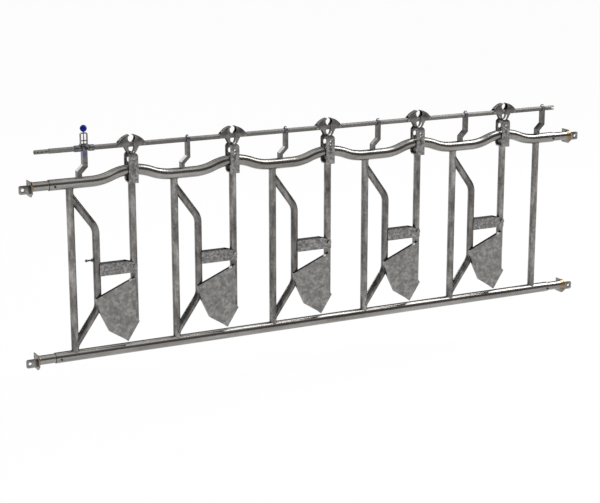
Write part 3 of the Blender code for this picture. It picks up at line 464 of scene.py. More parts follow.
def makeThreadTree():
    tree, given = newTree("threadAlongPaths", Radius="Float", Pitch="Float", Length="Float")
    radius, pitch, long = given["Radius"], given["Pitch"], given["Length"]
    turns = addNode(tree, "ShaderNodeMath", {0: long, 1: pitch}, operation="DIVIDE")
    spiral = addNode(tree, "GeometryNodeCurveSpiral",
                     {"Resolution": thread["turnSteps"], "Rotations": turns, "Start Radius": radius,
                      "End Radius": radius, "Height": long})
    depth = addNode(tree, "ShaderNodeMath", {0: pitch, 1: thread["depthShare"]}, operation="MULTIPLY")
    ridge = addNode(tree, "GeometryNodeCurvePrimitiveCircle",
                    {"Resolution": thread["ridgeSides"], "Radius": depth})
    wound = addNode(tree, "GeometryNodeCurveToMesh", {"Curve": spiral, "Profile Curve": ridge})
    return closeTree(tree, given, onEnds(tree, given["Geometry"], wound, starts=1, ends=0))


tubeTree, weldTree, threadTree = makeTubeTree(), makeWeldTree(), makeThreadTree()


def grown(source, tree, values):
    step = source.modifiers.new(tree.name, "NODES")
    step.node_group = tree
    sockets = {item.name: item.identifier for item in tree.interface.items_tree if item.in_out == "INPUT"}
    for label, value in values.items():
        step[sockets[label]] = value
    return plainMesh(source)


def tubeShape(paths, radius, wall, material):
    return grown(pathCurve("tube", paths), tubeTree,
                 {"Radius": radius, "Bore": radius - wall, "Sides": roundSteps, "Material": material})


def finishTube(name, paths, radius, wall, material, body, replaced):
    finishPiece(name, [tubeShape(paths, radius, wall, material)], material, body, replaced)


def weldShape(loops, bead=weld["bead"]):
    return grown(pathCurve("weld", loops, cyclic=True), weldTree,
                 {"Bead": bead, "Ripple": weld["ripple"], "Material": weldAndPaintedRimShadeZinc})


def threadShape(start, end, radius, pitch, material):
    long = (Vector(end) - Vector(start)).length
    return grown(pathCurve("thread", [[start, end]]), threadTree,
                 {"Radius": radius, "Pitch": pitch, "Length": long, "Material": material})


# Seam of a round tube that meets another round tube: both radii, both axes through one point.
def seamLoop(meeting, along, radius, mainAxis, mainSize):
    along, mainAxis = Vector(along).normalized(), Vector(mainAxis).normalized()
    side = along.cross(mainAxis).normalized()
    flatAlong = along - mainAxis * along.dot(mainAxis)
    found = []
    for offset in ringPoints((0, 0, 0), radius, side, side.cross(along)):
        flatOffset = offset - mainAxis * offset.dot(mainAxis)
        a, b = flatAlong.dot(flatAlong), flatOffset.dot(flatAlong)
        c = flatOffset.dot(flatOffset) - mainSize ** 2
        reach = (-b + math.sqrt(max(b * b - a * c, 0.0))) / a
        found.append(Vector(meeting) + offset + along * reach)
    return found


# Main tubes

mainTube = {"wall": 0.0045, "waveRise": 0.053, "waveHalf": 0.270, "waveSteps": 8,
            "mouthRadius": 0.0328, "mouthShadeRingThickness": 0.0020}
waveRadius = (mainTube["waveHalf"] ** 2 + mainTube["waveRise"] ** 2) / (4 * mainTube["waveRise"])
waveAngle = 2 * math.atan2(mainTube["waveRise"], mainTube["waveHalf"])


def wavePath():
    found = [(tubeEnds[0], topZ)]
    steps, half, quarter = mainTube["waveSteps"], mainTube["waveHalf"], math.pi / 2
    footZ, crestZ = topZ + waveRadius, topZ + mainTube["waveRise"] - waveRadius
    for x in barX:
        found += arcPoints((x - half, footZ), waveRadius, -quarter, waveAngle - quarter, steps)
        found += arcPoints((x, crestZ), waveRadius, quarter + waveAngle, quarter - waveAngle, 2 * steps)[1:-1]
        found += arcPoints((x + half, footZ), waveRadius, -quarter - waveAngle, -quarter, steps)
    return found + [(tubeEnds[1], topZ)]


def buildMainTubes():
    straight = [(tubeEnds[0], bottomZ), (tubeEnds[1], bottomZ)]
    for word, path in (("top", wavePath()), ("bottom", straight)):
        finishTube(f"{word}TubeSkin", [inPanel(path)], mainRadius, mainTube["wall"], zincTubeAlongX,
                   "frame", [f"{word}_tube"])
    # a thin dark ring on each tube's end rim is painted shade
    loops = [ringPoints((x, midY, z), mainTube["mouthRadius"]) for x in tubeEnds for z in (bottomZ, topZ)]
    finishPiece("tubeMouthShadeRings", [weldShape(loops, mainTube["mouthShadeRingThickness"])], oilyZincAndPaintedMouthShade, "frame")


# Posts and bent tubes with the welds that hold them

bentTube = {"wall": 0.0032, "columnOffset": 0.162, "topJoint": 1.042, "topBend": 0.817, "lowBend": 0.295,
            "lowJoint": 0.0625, "bendRadius": 0.110, "bendSteps": 8}


def bentPath(x):
    size, column = bentTube, x + bentTube["columnOffset"]
    corners = [(x, size["lowJoint"]), (column, size["lowBend"]), (column, size["topBend"]),
               (x, size["topJoint"])]
    return roundedRun(corners, size["bendRadius"], size["bendSteps"])


def buildUprights():
    posts = tubeShape([inPanel([(x, bottomZ), (x, topZ)]) for x in postX], postRadius, bentTube["wall"],
                      zincTubeUpright)
    # post ends follow the wall of the main tubes, clear of the sleeves that slide in there
    seat = mainRadius - mainTube["wall"] / 2
    for point in (vertex.co for vertex in posts.data.vertices):
        reach = math.sqrt(seat ** 2 - (point.y - midY) ** 2)
        point.z = bottomZ + reach if point.z < (bottomZ + topZ) / 2 else topZ - reach
    finishPiece("postSkins", [posts], zincTubeUpright, "frame", [f"post_{n + 1}" for n in range(places + 1)])
    finishTube("bentTubeSkins", [inPanel(bentPath(x)) for x in postX[:places]], postRadius, bentTube["wall"],
               zincTubeBent, "frame", [f"bent_tube_{n + 1}" for n in range(places)])


def buildWelds():
    loops = []
    for x in postX:
        for z, way in ((bottomZ, 1), (topZ, -1)):
            loops.append(seamLoop((x, midY, z), (0, 0, way), postRadius, (1, 0, 0), mainRadius))
    for x in postX[:places]:
        for end in ("low", "top"):
            joint, bend = bentTube[end + "Joint"], bentTube[end + "Bend"]
            along = (bentTube["columnOffset"], 0, bend - joint)
            loops.append(seamLoop((x, midY, joint), along, postRadius, (0, 0, 1), postRadius))
    finishPiece("frameWelds", [weldShape(loops)], weldAndPaintedRimShadeZinc, "frame")


buildMainTubes()
buildUprights()
buildWelds()
print("tubes and welds made")


# Swing bars: tube, saddle, two fork plates with slot and window, latch pin

swingBar = {"wall": 0.0032, "lowEnd": 0.180, "forkLow": 1.089, "saddle": 0.008, "saddleHalf": 0.026,
            "forkInner": 0.038, "forkPlate": 0.006, "forkHalf": 0.032, "forkTop": 1.285, "noseRise": 0.027,
            "cornerCut": 0.018, "slotWidth": 0.008, "slotLength": 0.018, "slotZ": 1.216,
            "windowRadius": 0.0055, "windowZ": 1.241, "backWidth": 0.023, "backLength": 0.032, "backZ": 1.231,
            "pinRadius": 0.006, "pinUnderRail": 0.0614, "weldDrop": 0.001}


def forkOutline(x, cutCorner):
    size, half = swingBar, swingBar["forkHalf"]
    shoulder = size["forkTop"] - size["noseRise"]
    nose = [(x + half * across, shoulder + size["noseRise"] * up)
            for across, up in arcPoints((0.0, 0.0), 1.0, 0.0, math.pi, 20)]
    low, cut = size["forkLow"], size["cornerCut"]
    base = [(x - half, low + cut), (x - half + cut / 2, low)] if cutCorner else [(x - half, low)]
    return [(x + half, low)] + nose + base


def slotOutline(x, z, width, length):
    half, reach = width / 2, (length - width) / 2
    return (arcPoints((x, z - reach), half, math.pi, 2 * math.pi, 10)
            + arcPoints((x, z + reach), half, 0.0, math.pi, 10))


def forkHoles(x, front):
    size = swingBar
    if not front:
        return [slotOutline(x, size["backZ"], size["backWidth"], size["backLength"])]
    window = roundHole((x, size["windowZ"]), size["windowRadius"], 20)
    return [slotOutline(x, size["slotZ"], size["slotWidth"], size["slotLength"]), window]


def buildSwingBar(number, x):
    size, body = swingBar, f"swing_{number}"
    inner, outer = size["forkInner"], size["forkInner"] + size["forkPlate"]
    low, high, halfX = size["forkLow"], size["forkLow"] + size["saddle"], size["saddleHalf"]
    finishTube(f"swingBarTube_{number}", [inPanel([(x, size["lowEnd"]), (x, low + size["saddle"] / 2)])],
               postRadius, size["wall"], zincTubeUpright, body, [f"swing_bar_{number}"])
    front = plateShape([forkOutline(x, False)] + forkHoles(x, True), midY - outer, midY - inner)
    back = plateShape([forkOutline(x, True)] + forkHoles(x, False), midY + inner, midY + outer)
    saddle = plateShape([[(x - halfX, low), (x + halfX, low), (x + halfX, high), (x - halfX, high)]],
                        midY - inner, midY + inner)
    pin = turnedShape(discProfile(size["pinRadius"], 2 * inner),
                      (x, midY - inner, railZ - size["pinUnderRail"]), (0, 1, 0), sides=20)
    finishPiece(f"forkHead_{number}", [front, back, saddle, pin], zincSpeckled, body)
    ring = ringPoints((x, midY, low - size["weldDrop"]), postRadius, (1, 0, 0), (0, 1, 0))
    finishPiece(f"forkWeld_{number}", [weldShape([ring])], weldAndPaintedRimShadeZinc, body)


for number, x in enumerate(barX, 1):
    buildSwingBar(number, x)
print("swing bars made")


# Control rail with its spigot, notched end and rivets

rail = {"wall": 0.003, "spigotRadius": 0.0135, "spigotOut": 0.094, "spigotIn": 0.060, "leftFromPost": 0.124,
        "holes": (0.020, 0.047, 0.074), "holeRadius": 0.004, "slotHeight": 0.010, "slotDepth": 0.028,
        "edge": 0.0008, "rivetHead": 0.0065, "rivetDome": 0.0025, "rivetBend": (0.6, 0.85),
        "rivetLip": 0.001, "rivetSeat": 0.0208, "pivotOffset": 0.085, "collarEdge": 0.0012}


def buildRail():
    left, right = postX[0] - rail["leftFromPost"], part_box("control_rail")[1].x
    spigot, edge, out, inside = rail["spigotRadius"], rail["edge"], rail["spigotOut"], rail["spigotIn"]
    bore, spigotBore, long = railRadius - rail["wall"], spigot - rail["wall"], right - left
    profile = [(spigotBore, -out), (spigot - edge, -out), (spigot, edge - out), (spigot, 0.0),
               (railRadius - edge, 0.0), (railRadius, edge), (railRadius, long - edge),
               (railRadius - edge, long), (bore, long), (bore, inside), (spigotBore, inside)]
    tube = turnedShape(profile, (left, midY, railZ), (1, 0, 0))
    cutters, through = bmesh.new(), 4 * railRadius
    size = Matrix.Diagonal((2 * rail["slotDepth"], through, rail["slotHeight"], 1.0))
    bmesh.ops.create_cube(cutters, size=1.0, matrix=Matrix.Translation((right, midY, railZ)) @ size)
    turn = Matrix.Rotation(math.pi / 2, 4, "X")
    for step in rail["holes"]:
        place = Matrix.Translation((left - out + step, midY, railZ))
        bmesh.ops.create_cone(cutters, cap_ends=True, segments=20, radius1=rail["holeRadius"],
                              radius2=rail["holeRadius"], depth=through, matrix=place @ turn)
    cutter = meshObject("railCuts", cutters)
    cut = tube.modifiers.new("cuts", "BOOLEAN")
    cut.operation, cut.object = "DIFFERENCE", cutter
    tube = plainMesh(tube)
    bpy.data.objects.remove(cutter)
    finishPiece("railSkin", [tube], zincRail, "rail", ["control_rail"])
    head, dome, lip, bend = rail["rivetHead"], rail["rivetDome"], rail["rivetLip"], rail["rivetBend"]
    profile = [(0.0, dome), (head * bend[0], dome * bend[1]), (head, 0.0), (head, -lip), (0.0, -lip)]
    rivets = [turnedShape(profile, (x + side * rail["pivotOffset"], midY + way * rail["rivetSeat"], railZ),
                          (0, way, 0), sides=20) for x in barX for side in (-1, 1) for way in (-1, 1)]
    finishPiece("latchRivets", rivets, brightZinc, "rail")


def buildCollars():
    for word in ("left", "right"):
        node = f"rail_collar_{word}"
        low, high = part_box(node)
        profile = bandProfile(railRadius, (high.z - low.z) / 2, rail["collarEdge"], high.x - low.x)
        collar = turnedShape(profile, (low.x, midY, railZ), (1, 0, 0))
        finishPiece(f"railCollar_{word}", [collar], tintedZinc, "rail", [node])


buildRail()
buildCollars()
print("rail made")


# Half-moon latches: two cheeks with a web along the rim

latch = {"inner": 0.0165, "sheet": 0.003, "edge": 0.0005, "pivot": 0.085, "corner": 0.012, "top": 0.063,
         "cornerAngles": (-math.pi / 2, -math.pi * 1.22), "tip": 0.015, "tipDrop": 0.008,
         "rimMiddle": (-0.058, 0.045), "webLow": 0.026, "webUnder": 0.0002, "webInset": 0.0006,
         "webEdge": 0.0003, "notchRadius": 0.025, "notchZ": 0.041,
         "notchAngles": (math.radians(143), math.radians(235)), "innerEdge": 0.013, "legTip": 0.056,
         "legTipInner": 0.0075, "legTipWidth": 0.014, "legRoot": 0.050,
         "legInner": [(-0.022, -0.017), (-0.021, -0.030), (-0.015, -0.046)], "innerBend": 0.0035,
         "legOuter": [(-0.031, -0.046), (-0.041, -0.026)], "outerBend": 0.005, "holeRadius": 0.0043}


def circleThrough(a, b, c):
    scale = 2 * (a[0] * (b[1] - c[1]) + b[0] * (c[1] - a[1]) + c[0] * (a[1] - b[1]))
    squares = [p[0] ** 2 + p[1] ** 2 for p in (a, b, c)]
    x = (squares[0] * (b[1] - c[1]) + squares[1] * (c[1] - a[1]) + squares[2] * (a[1] - b[1])) / scale
    z = (squares[0] * (c[0] - b[0]) + squares[1] * (a[0] - c[0]) + squares[2] * (b[0] - a[0])) / scale
    return (x, z), math.hypot(a[0] - x, a[1] - z)


def latchOutlines():
    size, edge = latch, -latch["corner"]
    corner = arcPoints((-size["pivot"], 0.0), size["corner"], *size["cornerAngles"], 12)
    top = (-size["tip"], size["top"])
    centre, radius = circleThrough(corner[-1], size["rimMiddle"], top)
    first = math.atan2(corner[-1][1] - centre[1], corner[-1][0] - centre[0]) % (2 * math.pi)
    last = math.atan2(top[1] - centre[1], top[0] - centre[0])
    rim = arcPoints(centre, radius, first, last, 24)[1:]
    notch = arcPoints((0.0, size["notchZ"]), size["notchRadius"], *size["notchAngles"], 12)
    legEnd = (-size["legTipInner"], -size["legTip"])
    tipEnd = (-size["legTipInner"] - size["legTipWidth"], -size["legTip"])
    inner = roundedRun([(-size["innerEdge"], -railRadius / 2), *size["legInner"], legEnd],
                       size["innerBend"], 3)
    leg = [(-size["innerEdge"], railRadius + size["sheet"])] + inner + [tipEnd]
    outer = roundedRun([tipEnd, *size["legOuter"], (-size["legRoot"], edge), (-size["pivot"], edge)],
                       size["outerBend"], 4)
    cheek = corner + rim + [(-size["tip"], size["top"] - size["tipDrop"])] + notch + leg + outer[1:-1]
    webFirst = math.pi - math.asin((size["webLow"] - centre[1]) / radius)
    web = arcPoints(centre, radius - size["webUnder"], webFirst, last, 24)
    web += arcPoints(centre, radius - size["sheet"], last, webFirst, 24)
    return cheek, web, roundHole((-size["pivot"], 0.0), size["holeRadius"], 20)


def buildLatch(number, word, x):
    side, body = (-1 if word == "left" else 1), f"half_moon_{word}_{number}"
    cheek, web, hole = [[(x - side * across, railZ + up) for across, up in outline]
                        for outline in latchOutlines()]
    inner, outer, edge = latch["inner"], latch["inner"] + latch["sheet"], latch["edge"]
    cheeks = [plateShape([cheek, hole], midY - outer, midY - inner, edge=edge),
              plateShape([cheek, hole], midY + inner, midY + outer, edge=edge)]
    reach = outer - latch["webInset"]
    rim = plateShape([web], midY - reach, midY + reach, edge=latch["webEdge"])
    finishPiece(f"halfMoon_{word}_{number}", cheeks, zincLatch, body, [f"latch_{word}_{number}"])
    # the rim's darker zinc is painted shade along the edge of the half-moon
    finishPiece(f"halfMoonRim_{word}_{number}", [rim], weldAndPaintedRimShadeZinc, body)


for number, x in enumerate(barX, 1):
    buildLatch(number, "left", x)
    buildLatch(number, "right", x)
print("latches made")


# End fittings: sleeve, flange plate and bolting lug with their welds

fitting = {"sleeveRadius": 0.03015, "sleeveWall": 0.0036, "flange": 0.008, "depth": 0.110, "back": 0.079,
           "top": 0.031, "height": 0.096, "chamferY": 0.034, "chamferZ": 0.026, "edge": 0.001,
           "holeRadius": 0.007, "holeEdge": 0.020, "lugHalf": 0.005, "lugLength": 0.073, "lugHeight": 0.055,
           "lugDrop": 0.0145, "lugCorner": 0.012, "lugSink": 0.002, "lugHole": 0.010, "lugHoleEnd": 0.024,
           "sleeveIn": 0.100, "weldBead": 0.004, "weldIn": 0.001, "coneRise": 0.008, "coneEnd": 0.0012,
           "coneSink": 0.0005, "coneLength": 0.026}


def buildFitting(level, word, axisZ, lift=0.0):
    size, side, radius = fitting, (-1 if word == "left" else 1), fitting["sleeveRadius"]
    place, body, node = f"{level}_{word}", f"fitting_{level}_{word}", f"end_fitting_{level}_{word}"
    low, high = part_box(node)
    face = low.x + size["lugLength"] if side < 0 else high.x - size["lugLength"]
    inner, weldZ = face - side * size["flange"], axisZ + lift
    insideX = (tubeEnds[0] if side < 0 else tubeEnds[1]) - side * size["sleeveIn"]
    finishTube(f"sleeve_{place}", [[(inner, midY, axisZ), (insideX, midY, axisZ)]], radius,
               size["sleeveWall"], zincTubeAlongX, body, [node])

    back, front = midY + size["back"], midY + size["back"] - size["depth"]
    top, bottom = weldZ + size["top"], weldZ + size["top"] - size["height"]
    cutY, cutZ = front + size["chamferY"], size["chamferZ"]
    outline = [(back, bottom), (back, top), (cutY, top), (front, top - cutZ), (front, bottom + cutZ),
               (cutY, bottom)]
    holes = [roundHole((back - size["holeEdge"], z), size["holeRadius"], 24)
             for z in (top - size["holeEdge"], bottom + size["holeEdge"])]
    flange = plateShape([outline] + holes, min(face, inner), max(face, inner), "YZ", edge=size["edge"])
    middle, half, corner = weldZ - size["lugDrop"], size["lugHeight"] / 2, size["lugCorner"]
    root, end, quarter = face - side * size["lugSink"], face + side * size["lugLength"], math.pi / 2
    bend = end - side * corner
    lug = [(root, middle - half)]
    lug += arcPoints((bend, middle - half + corner), corner, -quarter, (side - 1) * quarter, 10)
    lug += arcPoints((bend, middle + half - corner), corner, (1 - side) * quarter, quarter, 10)
    lug += [(root, middle + half)]
    lugHole = roundHole((end - side * size["lugHoleEnd"], middle), size["lugHole"], 32)
    ear = plateShape([lug, lugHole], midY - size["lugHalf"], midY + size["lugHalf"], edge=size["edge"])
    finishPiece(f"flange_{place}", [flange, ear], zincPlate, body)

    ring = ringPoints((inner - side * size["weldIn"], midY, axisZ), radius)
    shapes = [weldShape([ring], size["weldBead"])]
    if side > 0:
        under, long = radius - size["coneSink"], size["coneLength"]
        cone = [(under, 0.0), (radius + size["coneRise"], 0.0), (radius + size["coneEnd"], long),
                (under, long)]
        shapes.append(turnedShape(cone, (inner, midY, axisZ), (-side, 0, 0)))
    finishPiece(f"sleeveWeld_{place}", shapes, yellowZinc, body)


buildFitting("lower", "left", bottomZ)
buildFitting("upper", "left", topZ)
buildFitting("lower", "right", bottomZ)
buildFitting("upper", "right", topZ, lift=0.008)  # this flange stands higher on its sleeve
print("end fittings made")


# Release lock: ball and plunger

lock = {"ballEnd": 0.975, "mouth": 0.0065, "bore": 0.0042, "boreEnd": 0.5, "rod": 0.004, "rodTip": 0.001,
        "ring": 0.007, "ringAt": 0.0045, "ringHigh": 0.003}


def buildLock():
    low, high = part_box("release_knob")
    centre, radius = (low + high) / 2, (high.x - low.x) / 2
    centre.z = high.z - radius
    end, bore, boreEnd = -radius * lock["ballEnd"], lock["bore"], -radius * lock["boreEnd"]
    profile = [(0.0, radius)] + arcPoints((0.0, 0.0), radius, math.pi / 2, -math.pi * 3 / 8, 21)[1:]
    profile += [(lock["mouth"], end), (bore, end), (bore, boreEnd), (0.0, boreEnd)]
    ball = turnedShape(profile, centre, (0, 0, 1))
    finishPiece("knobBall", [ball], bluePlastic, "plunger", ["release_knob"])

    low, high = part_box("release_plunger")
    rod, tip, ring, long = lock["rod"], lock["rodTip"], lock["ring"], high.z - low.z
    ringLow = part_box("lock_stirrup")[0].z + lock["ringAt"] - low.z
    ringTop = ringLow + lock["ringHigh"]
    profile = [(0.0, 0.0), (rod - tip, 0.0), (rod, tip), (rod, ringLow), (ring, ringLow), (ring, ringTop),
               (rod, ringTop), (rod, long), (0.0, long)]
    plunger = turnedShape(profile, (centre.x, midY, low.z), (0, 0, 1), sides=24)
    finishPiece("plungerRod", [plunger], brightZinc, "plunger", ["release_plunger"])


buildLock()


# Small fasteners

chamferFrom = 0.85  # share of a bolt head's height where its corners start to round


def hexBolt(start, direction, size):
    flat, corner, height = size["across"] / 2, size["across"] / math.sqrt(3), size["height"]
    profile = [(0.0, 0.0), (corner, 0.0), (corner, height * chamferFrom), (flat, height), (0.0, height)]
    return [turnedShape(profile, start, direction, sides=6),
            turnedShape(discProfile(size["shank"], 0.0, -size["shankLength"]), start, direction, sides=16)]


# screws that hold the end sleeves, leaning a little down
setScrew = {"across": 0.013, "height": 0.007, "shank": 0.004, "shankLength": 0.004, "fromLeft": 0.033,
            "fromRight": 0.010, "seat": 0.985, "drop": 0.006, "lean": -0.15}


def buildSetScrews():
    shapes, y = [], midY - mainRadius * setScrew["seat"]
    for x in (tubeEnds[0] + setScrew["fromLeft"], tubeEnds[1] - setScrew["fromRight"]):
        for axisZ in (bottomZ, topZ):
            shapes += hexBolt((x, y, axisZ - setScrew["drop"]), (0, -1, setScrew["lean"]), setScrew)
    finishPiece("setScrews", shapes, oilyZincAndPaintedMouthShade, "frame")


# threaded stud with its nut, a washer and a lock nut further out
stud = {"core": 0.82, "tip": 0.6, "tipLength": 0.001, "thread": 0.86, "pitch": 0.0015, "threadEnd": 0.003,
        "nut": 0.0109, "nutHeight": 0.007, "nutIn": 0.0005, "washer": 0.0125, "washerEnd": 0.009,
        "lockNut": 0.0104, "lockNutHeight": 0.006, "lockNutAt": 0.012}


def buildStud():
    low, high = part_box("adjusting_stud")
    radius, long, height = (high.z - low.z) / 2, high.x - low.x, stud["nutHeight"]
    y, z, out = (low.y + high.y) / 2, (low.z + high.z) / 2, (-1, 0, 0)
    profile = [(0.0, 0.0), (radius * stud["core"], 0.0), (radius * stud["core"], long - stud["tipLength"]),
               (radius * stud["tip"], long), (0.0, long)]
    core = turnedShape(profile, (high.x, y, z), out, sides=20)
    wound = threadShape((high.x, y, z), (low.x + stud["threadEnd"], y, z), radius * stud["thread"],
                        stud["pitch"], brightZinc)
    nut = turnedShape(discProfile(stud["nut"], height), (high.x - stud["nutIn"], y, z), out, sides=6)
    profile = [(radius, height), (stud["washer"], height), (stud["washer"], stud["washerEnd"]),
               (radius, stud["washerEnd"])]
    washer = turnedShape(profile, (high.x, y, z), out, sides=24)
    lockNut = turnedShape(discProfile(stud["lockNut"], stud["lockNutHeight"]),
                          (low.x + stud["lockNutAt"], y, z), out, sides=6)
    finishPiece("studThreaded", [core, wound, nut, washer, lockNut], darkStud, "frame", ["adjusting_stud"])


paddleBolt = {"across": 0.019, "height": 0.0035, "shank": 0.006, "shankLength": 0.005, "beside": 0.045,
              "sink": 0.0010, "drop": 0.011}


def buildPaddleBolts():
    for number, x in enumerate(barX, 1):
        low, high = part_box(f"paddle_{number}")
        seat = (x - paddleBolt["beside"], low.y + paddleBolt["sink"], high.z - paddleBolt["drop"])
        finishPiece(f"paddleBolt_{number}", hexBolt(seat, (0, -1, 0), paddleBolt), polishedZinc,
                    f"swing_{number}")


# dark nut, screw and clip at the foot of the release lock, placed from its middle and from the rail
lockFoot = {"middle": 0.0155, "sink": 0.0005, "clipHalf": 0.012,
            "clip": ((-0.006, -0.004), (0.008, -0.008), (0.010, 0.003), (0.002, 0.004))}
footNut = {"across": 0.016, "height": 0.005, "shank": 0.005, "shankLength": 0.003, "right": 0.006,
           "up": 0.001}
footScrew = {"across": 0.010, "height": 0.004, "shank": 0.003, "shankLength": 0.003, "right": -0.004,
             "up": 0.014}


def buildLockFoot():
    shapes, foot = [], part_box("lock_stirrup")[0]
    for size in (footNut, footScrew):
        seat = (hookHigh.x - lockFoot["middle"] + size["right"], hookLow.y + lockFoot["sink"],
                railZ + size["up"])
        shapes += hexBolt(seat, (0, -1, 0), size)
    clip = [(foot.x + across, foot.z + up) for across, up in lockFoot["clip"]]
    shapes.append(plateShape([clip], midY - lockFoot["clipHalf"], midY + lockFoot["clipHalf"]))
    finishPiece("lockHardware", shapes, oilyZincAndPaintedMouthShade, "frame")


buildSetScrews()
buildStud()
buildPaddleBolts()
buildLockFoot()


# Raised bead on the front cheek of every pivot arm

bead = {"width": 0.0030, "proud": 0.0018, "sink": 0.0005, "edge": 0.0004, "left": 0.030, "right": 0.105,
        "low": 0.026, "high": 0.052}


def beadLoop(left, right, low, high):
    radius, quarter = (high - low) / 2, math.pi / 2
    return (arcPoints((right - radius, low + radius), radius, -quarter, quarter, 10)
            + arcPoints((left + radius, low + radius), radius, quarter, 3 * quarter, 10))


def buildArmBeads():
    shapes, width = [], bead["width"]
    for number in range(1, places + 1):
        low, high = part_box(f"pivot_arm_{number}")
        left, right = low.x + bead["left"], high.x - bead["right"]
        under, over = low.z + bead["low"], low.z + bead["high"]
        loops = [beadLoop(left, right, under, over),
                 beadLoop(left + width, right - width, under + width, over - width)]
        shapes.append(plateShape(loops, low.y - bead["proud"], low.y + bead["sink"], edge=bead["edge"]))
    finishPiece("armBeads", shapes, brightZinc, "frame")


buildArmBeads()


# Bushes that line the rail hooks

bush = {"radius": 0.0168, "out": 0.004, "edge": 0.0008, "width": 0.0225, "lockWidth": 0.031}


def buildBushes():
    shapes, out = [], bush["out"]
    for number in range(1, places + 2):
        width = bush["lockWidth"] if number == 1 else bush["width"]
        start = (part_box(f"rail_hook_{number}")[1].x - width - out, midY, railZ)
        profile = bandProfile(railRadius, bush["radius"], bush["edge"], width + 2 * out)
        shapes.append(turnedShape(profile, start, (1, 0, 0), sides=32))
    finishPiece("railBushes", shapes, violetPlastic, "rail")


buildBushes()


# The solids that stay: broken edges and a real finish

def dressNode(name, material, edge=0.0008):
    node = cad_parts[name]
    merge = node.modifiers.new("weld", "WELD")
    merge.merge_threshold = 1e-5
    bevel = node.modifiers.new("brokenEdges", "BEVEL")
    bevel.width = edge
    bevel.segments = 2
    bevel.limit_method = "ANGLE"
    bevel.angle_limit = math.radians(40)
    node.data.materials.clear()
    node.data.materials.append(material)


for number in range(1, places + 1):
    dressNode(f"paddle_{number}", zincBlotchyWithPaintedTopShade)
    dressNode(f"pivot_arm_{number}", zincSpeckled)
    dressNode(f"pivot_bolt_{number}", brightZinc, 0.0005)
for number in range(1, places + 2):
    dressNode(f"rail_hook_{number}", stainedHook if number == 1 else zincHook, 0.0005)
dressNode("lock_stirrup", darkStud, 0.0005)
print("fasteners and kept solids dressed")


# Studio: pale floor, soft light, the photo's camera

studio = {"overhead": 1.2, "lowDown": 0.14, "overheadFrom": (0.62, 0.88), "strip": 5.5,
          "stripDirection": (-0.301, 0.869, 0.392), "stripFrom": (0.980, 0.992), "floorDrop": 0.30,
          "floorHalf": 80.0, "floorMiddle": 2.0, "floorColour": "#F4F4F3", "whiteShare": 0.95}
lamps = (("softBoxFront", (-1.0, -7.0, 7.0), (2.0, 0.0, 0.7), (4.0, 4.0), 90.0),
         ("softBoxOver", (7.3, -0.4, 6.4), (2.5, 0.0, 0.8), (4.2, 6.0), 520.0))


# White sky overhead, dim lower down, with a bright strip that the zinc mirrors.
def buildSky():
    world = bpy.data.worlds.new("studio")
    scene.world = world
    world.use_nodes = True
    tree = world.node_tree
    tree.nodes.clear()
    coords = addNode(tree, "ShaderNodeTexCoord").outputs["Generated"]
    height = addNode(tree, "ShaderNodeSeparateXYZ", {0: coords}).outputs["Z"]
    dim, full = studio["overheadFrom"]
    above = addNode(tree, "ShaderNodeMapRange", {0: height, 1: dim, 2: full, 3: studio["lowDown"],
                                                 4: studio["overhead"]}, interpolation_type="SMOOTHSTEP")
    toStrip = addNode(tree, "ShaderNodeVectorMath", {0: coords, 1: studio["stripDirection"]},
                      operation="DOT_PRODUCT").outputs["Value"]
    dim, full = studio["stripFrom"]
    strip = addNode(tree, "ShaderNodeMapRange", {0: toStrip, 1: dim, 2: full, 3: 0.0, 4: studio["strip"]},
                    interpolation_type="SMOOTHSTEP")
    total = addNode(tree, "ShaderNodeMath", {0: above, 1: strip}, operation="ADD")
    light = addNode(tree, "ShaderNodeBackground", {"Color": (1, 1, 1, 1), "Strength": total})
    addNode(tree, "ShaderNodeOutputWorld", {"Surface": light})


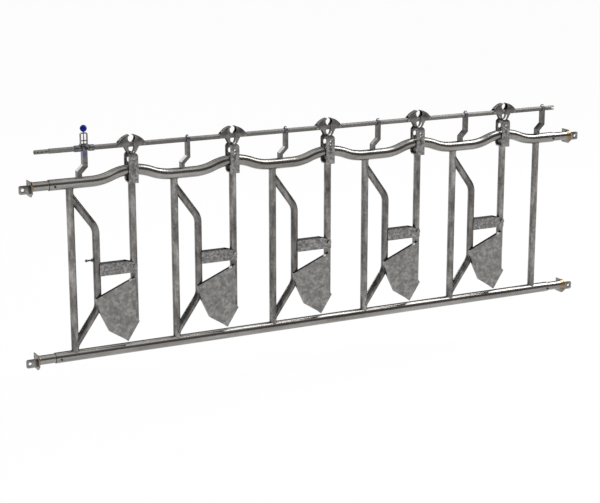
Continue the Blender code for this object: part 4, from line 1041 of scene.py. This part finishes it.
# Pale floor, close to plain white for the camera and in reflections, and pale paint for the light.
def buildFloor():
    shape = bmesh.new()
    place = (studio["floorMiddle"], 0.0, cadBox[0].z - studio["floorDrop"])
    bmesh.ops.create_grid(shape, x_segments=1, y_segments=1, size=studio["floorHalf"],
                          matrix=Matrix.Translation(place))
    floor = meshObject("floor", shape)
    paint, tree, shader = newMaterial("paleFloor")
    setInputs(tree, shader, {"Base Color": linear(studio["floorColour"]), "Roughness": 0.9,
                             "Specular IOR Level": 0.0})
    rays = addNode(tree, "ShaderNodeLightPath").outputs
    seen = rays["Is Camera Ray"]
    for ray in ("Is Glossy Ray", "Is Transmission Ray"):
        seen = addNode(tree, "ShaderNodeMath", {0: seen, 1: rays[ray]}, operation="MAXIMUM").outputs[0]
    share = addNode(tree, "ShaderNodeMath", {0: seen, 1: studio["whiteShare"]}, operation="MULTIPLY")
    white = addNode(tree, "ShaderNodeEmission", {"Color": (1, 1, 1, 1), "Strength": 1.0})
    mixed = addNode(tree, "ShaderNodeMixShader", {0: share, 1: shader, 2: white})
    setInputs(tree, tree.nodes["Material Output"], {"Surface": mixed})
    floor.data.materials.append(paint)


def buildLamps():
    for name, place, target, size, power in lamps:
        lamp = bpy.data.lights.new(name, "AREA")
        lamp.shape, lamp.energy = "RECTANGLE", power
        lamp.size, lamp.size_y = size
        made = newObject(name, lamp)
        made.location = place
        made.rotation_mode = "QUATERNION"
        made.rotation_quaternion = (Vector(target) - Vector(place)).to_track_quat("-Z", "Y")


def buildCamera():
    view = {"azimuth": math.radians(-26.734), "elevation": math.radians(14.31), "lens": 94.94,
            "place": (-2.780, -9.239, 3.139)}
    camera = bpy.data.cameras.new("photoCamera")
    camera.lens, camera.sensor_width, camera.sensor_fit = view["lens"], 36.0, "HORIZONTAL"
    camera.clip_end = 200.0
    made = newObject("photoCamera", camera)
    made.location = view["place"]
    azimuth, elevation = view["azimuth"], view["elevation"]
    back = Vector((math.sin(azimuth) * math.cos(elevation), -math.cos(azimuth) * math.cos(elevation),
                   math.sin(elevation)))
    made.rotation_mode = "QUATERNION"
    made.rotation_quaternion = (-back).to_track_quat("-Z", "Y")
    scene.camera = made


buildSky()
buildFloor()
buildLamps()
buildCamera()
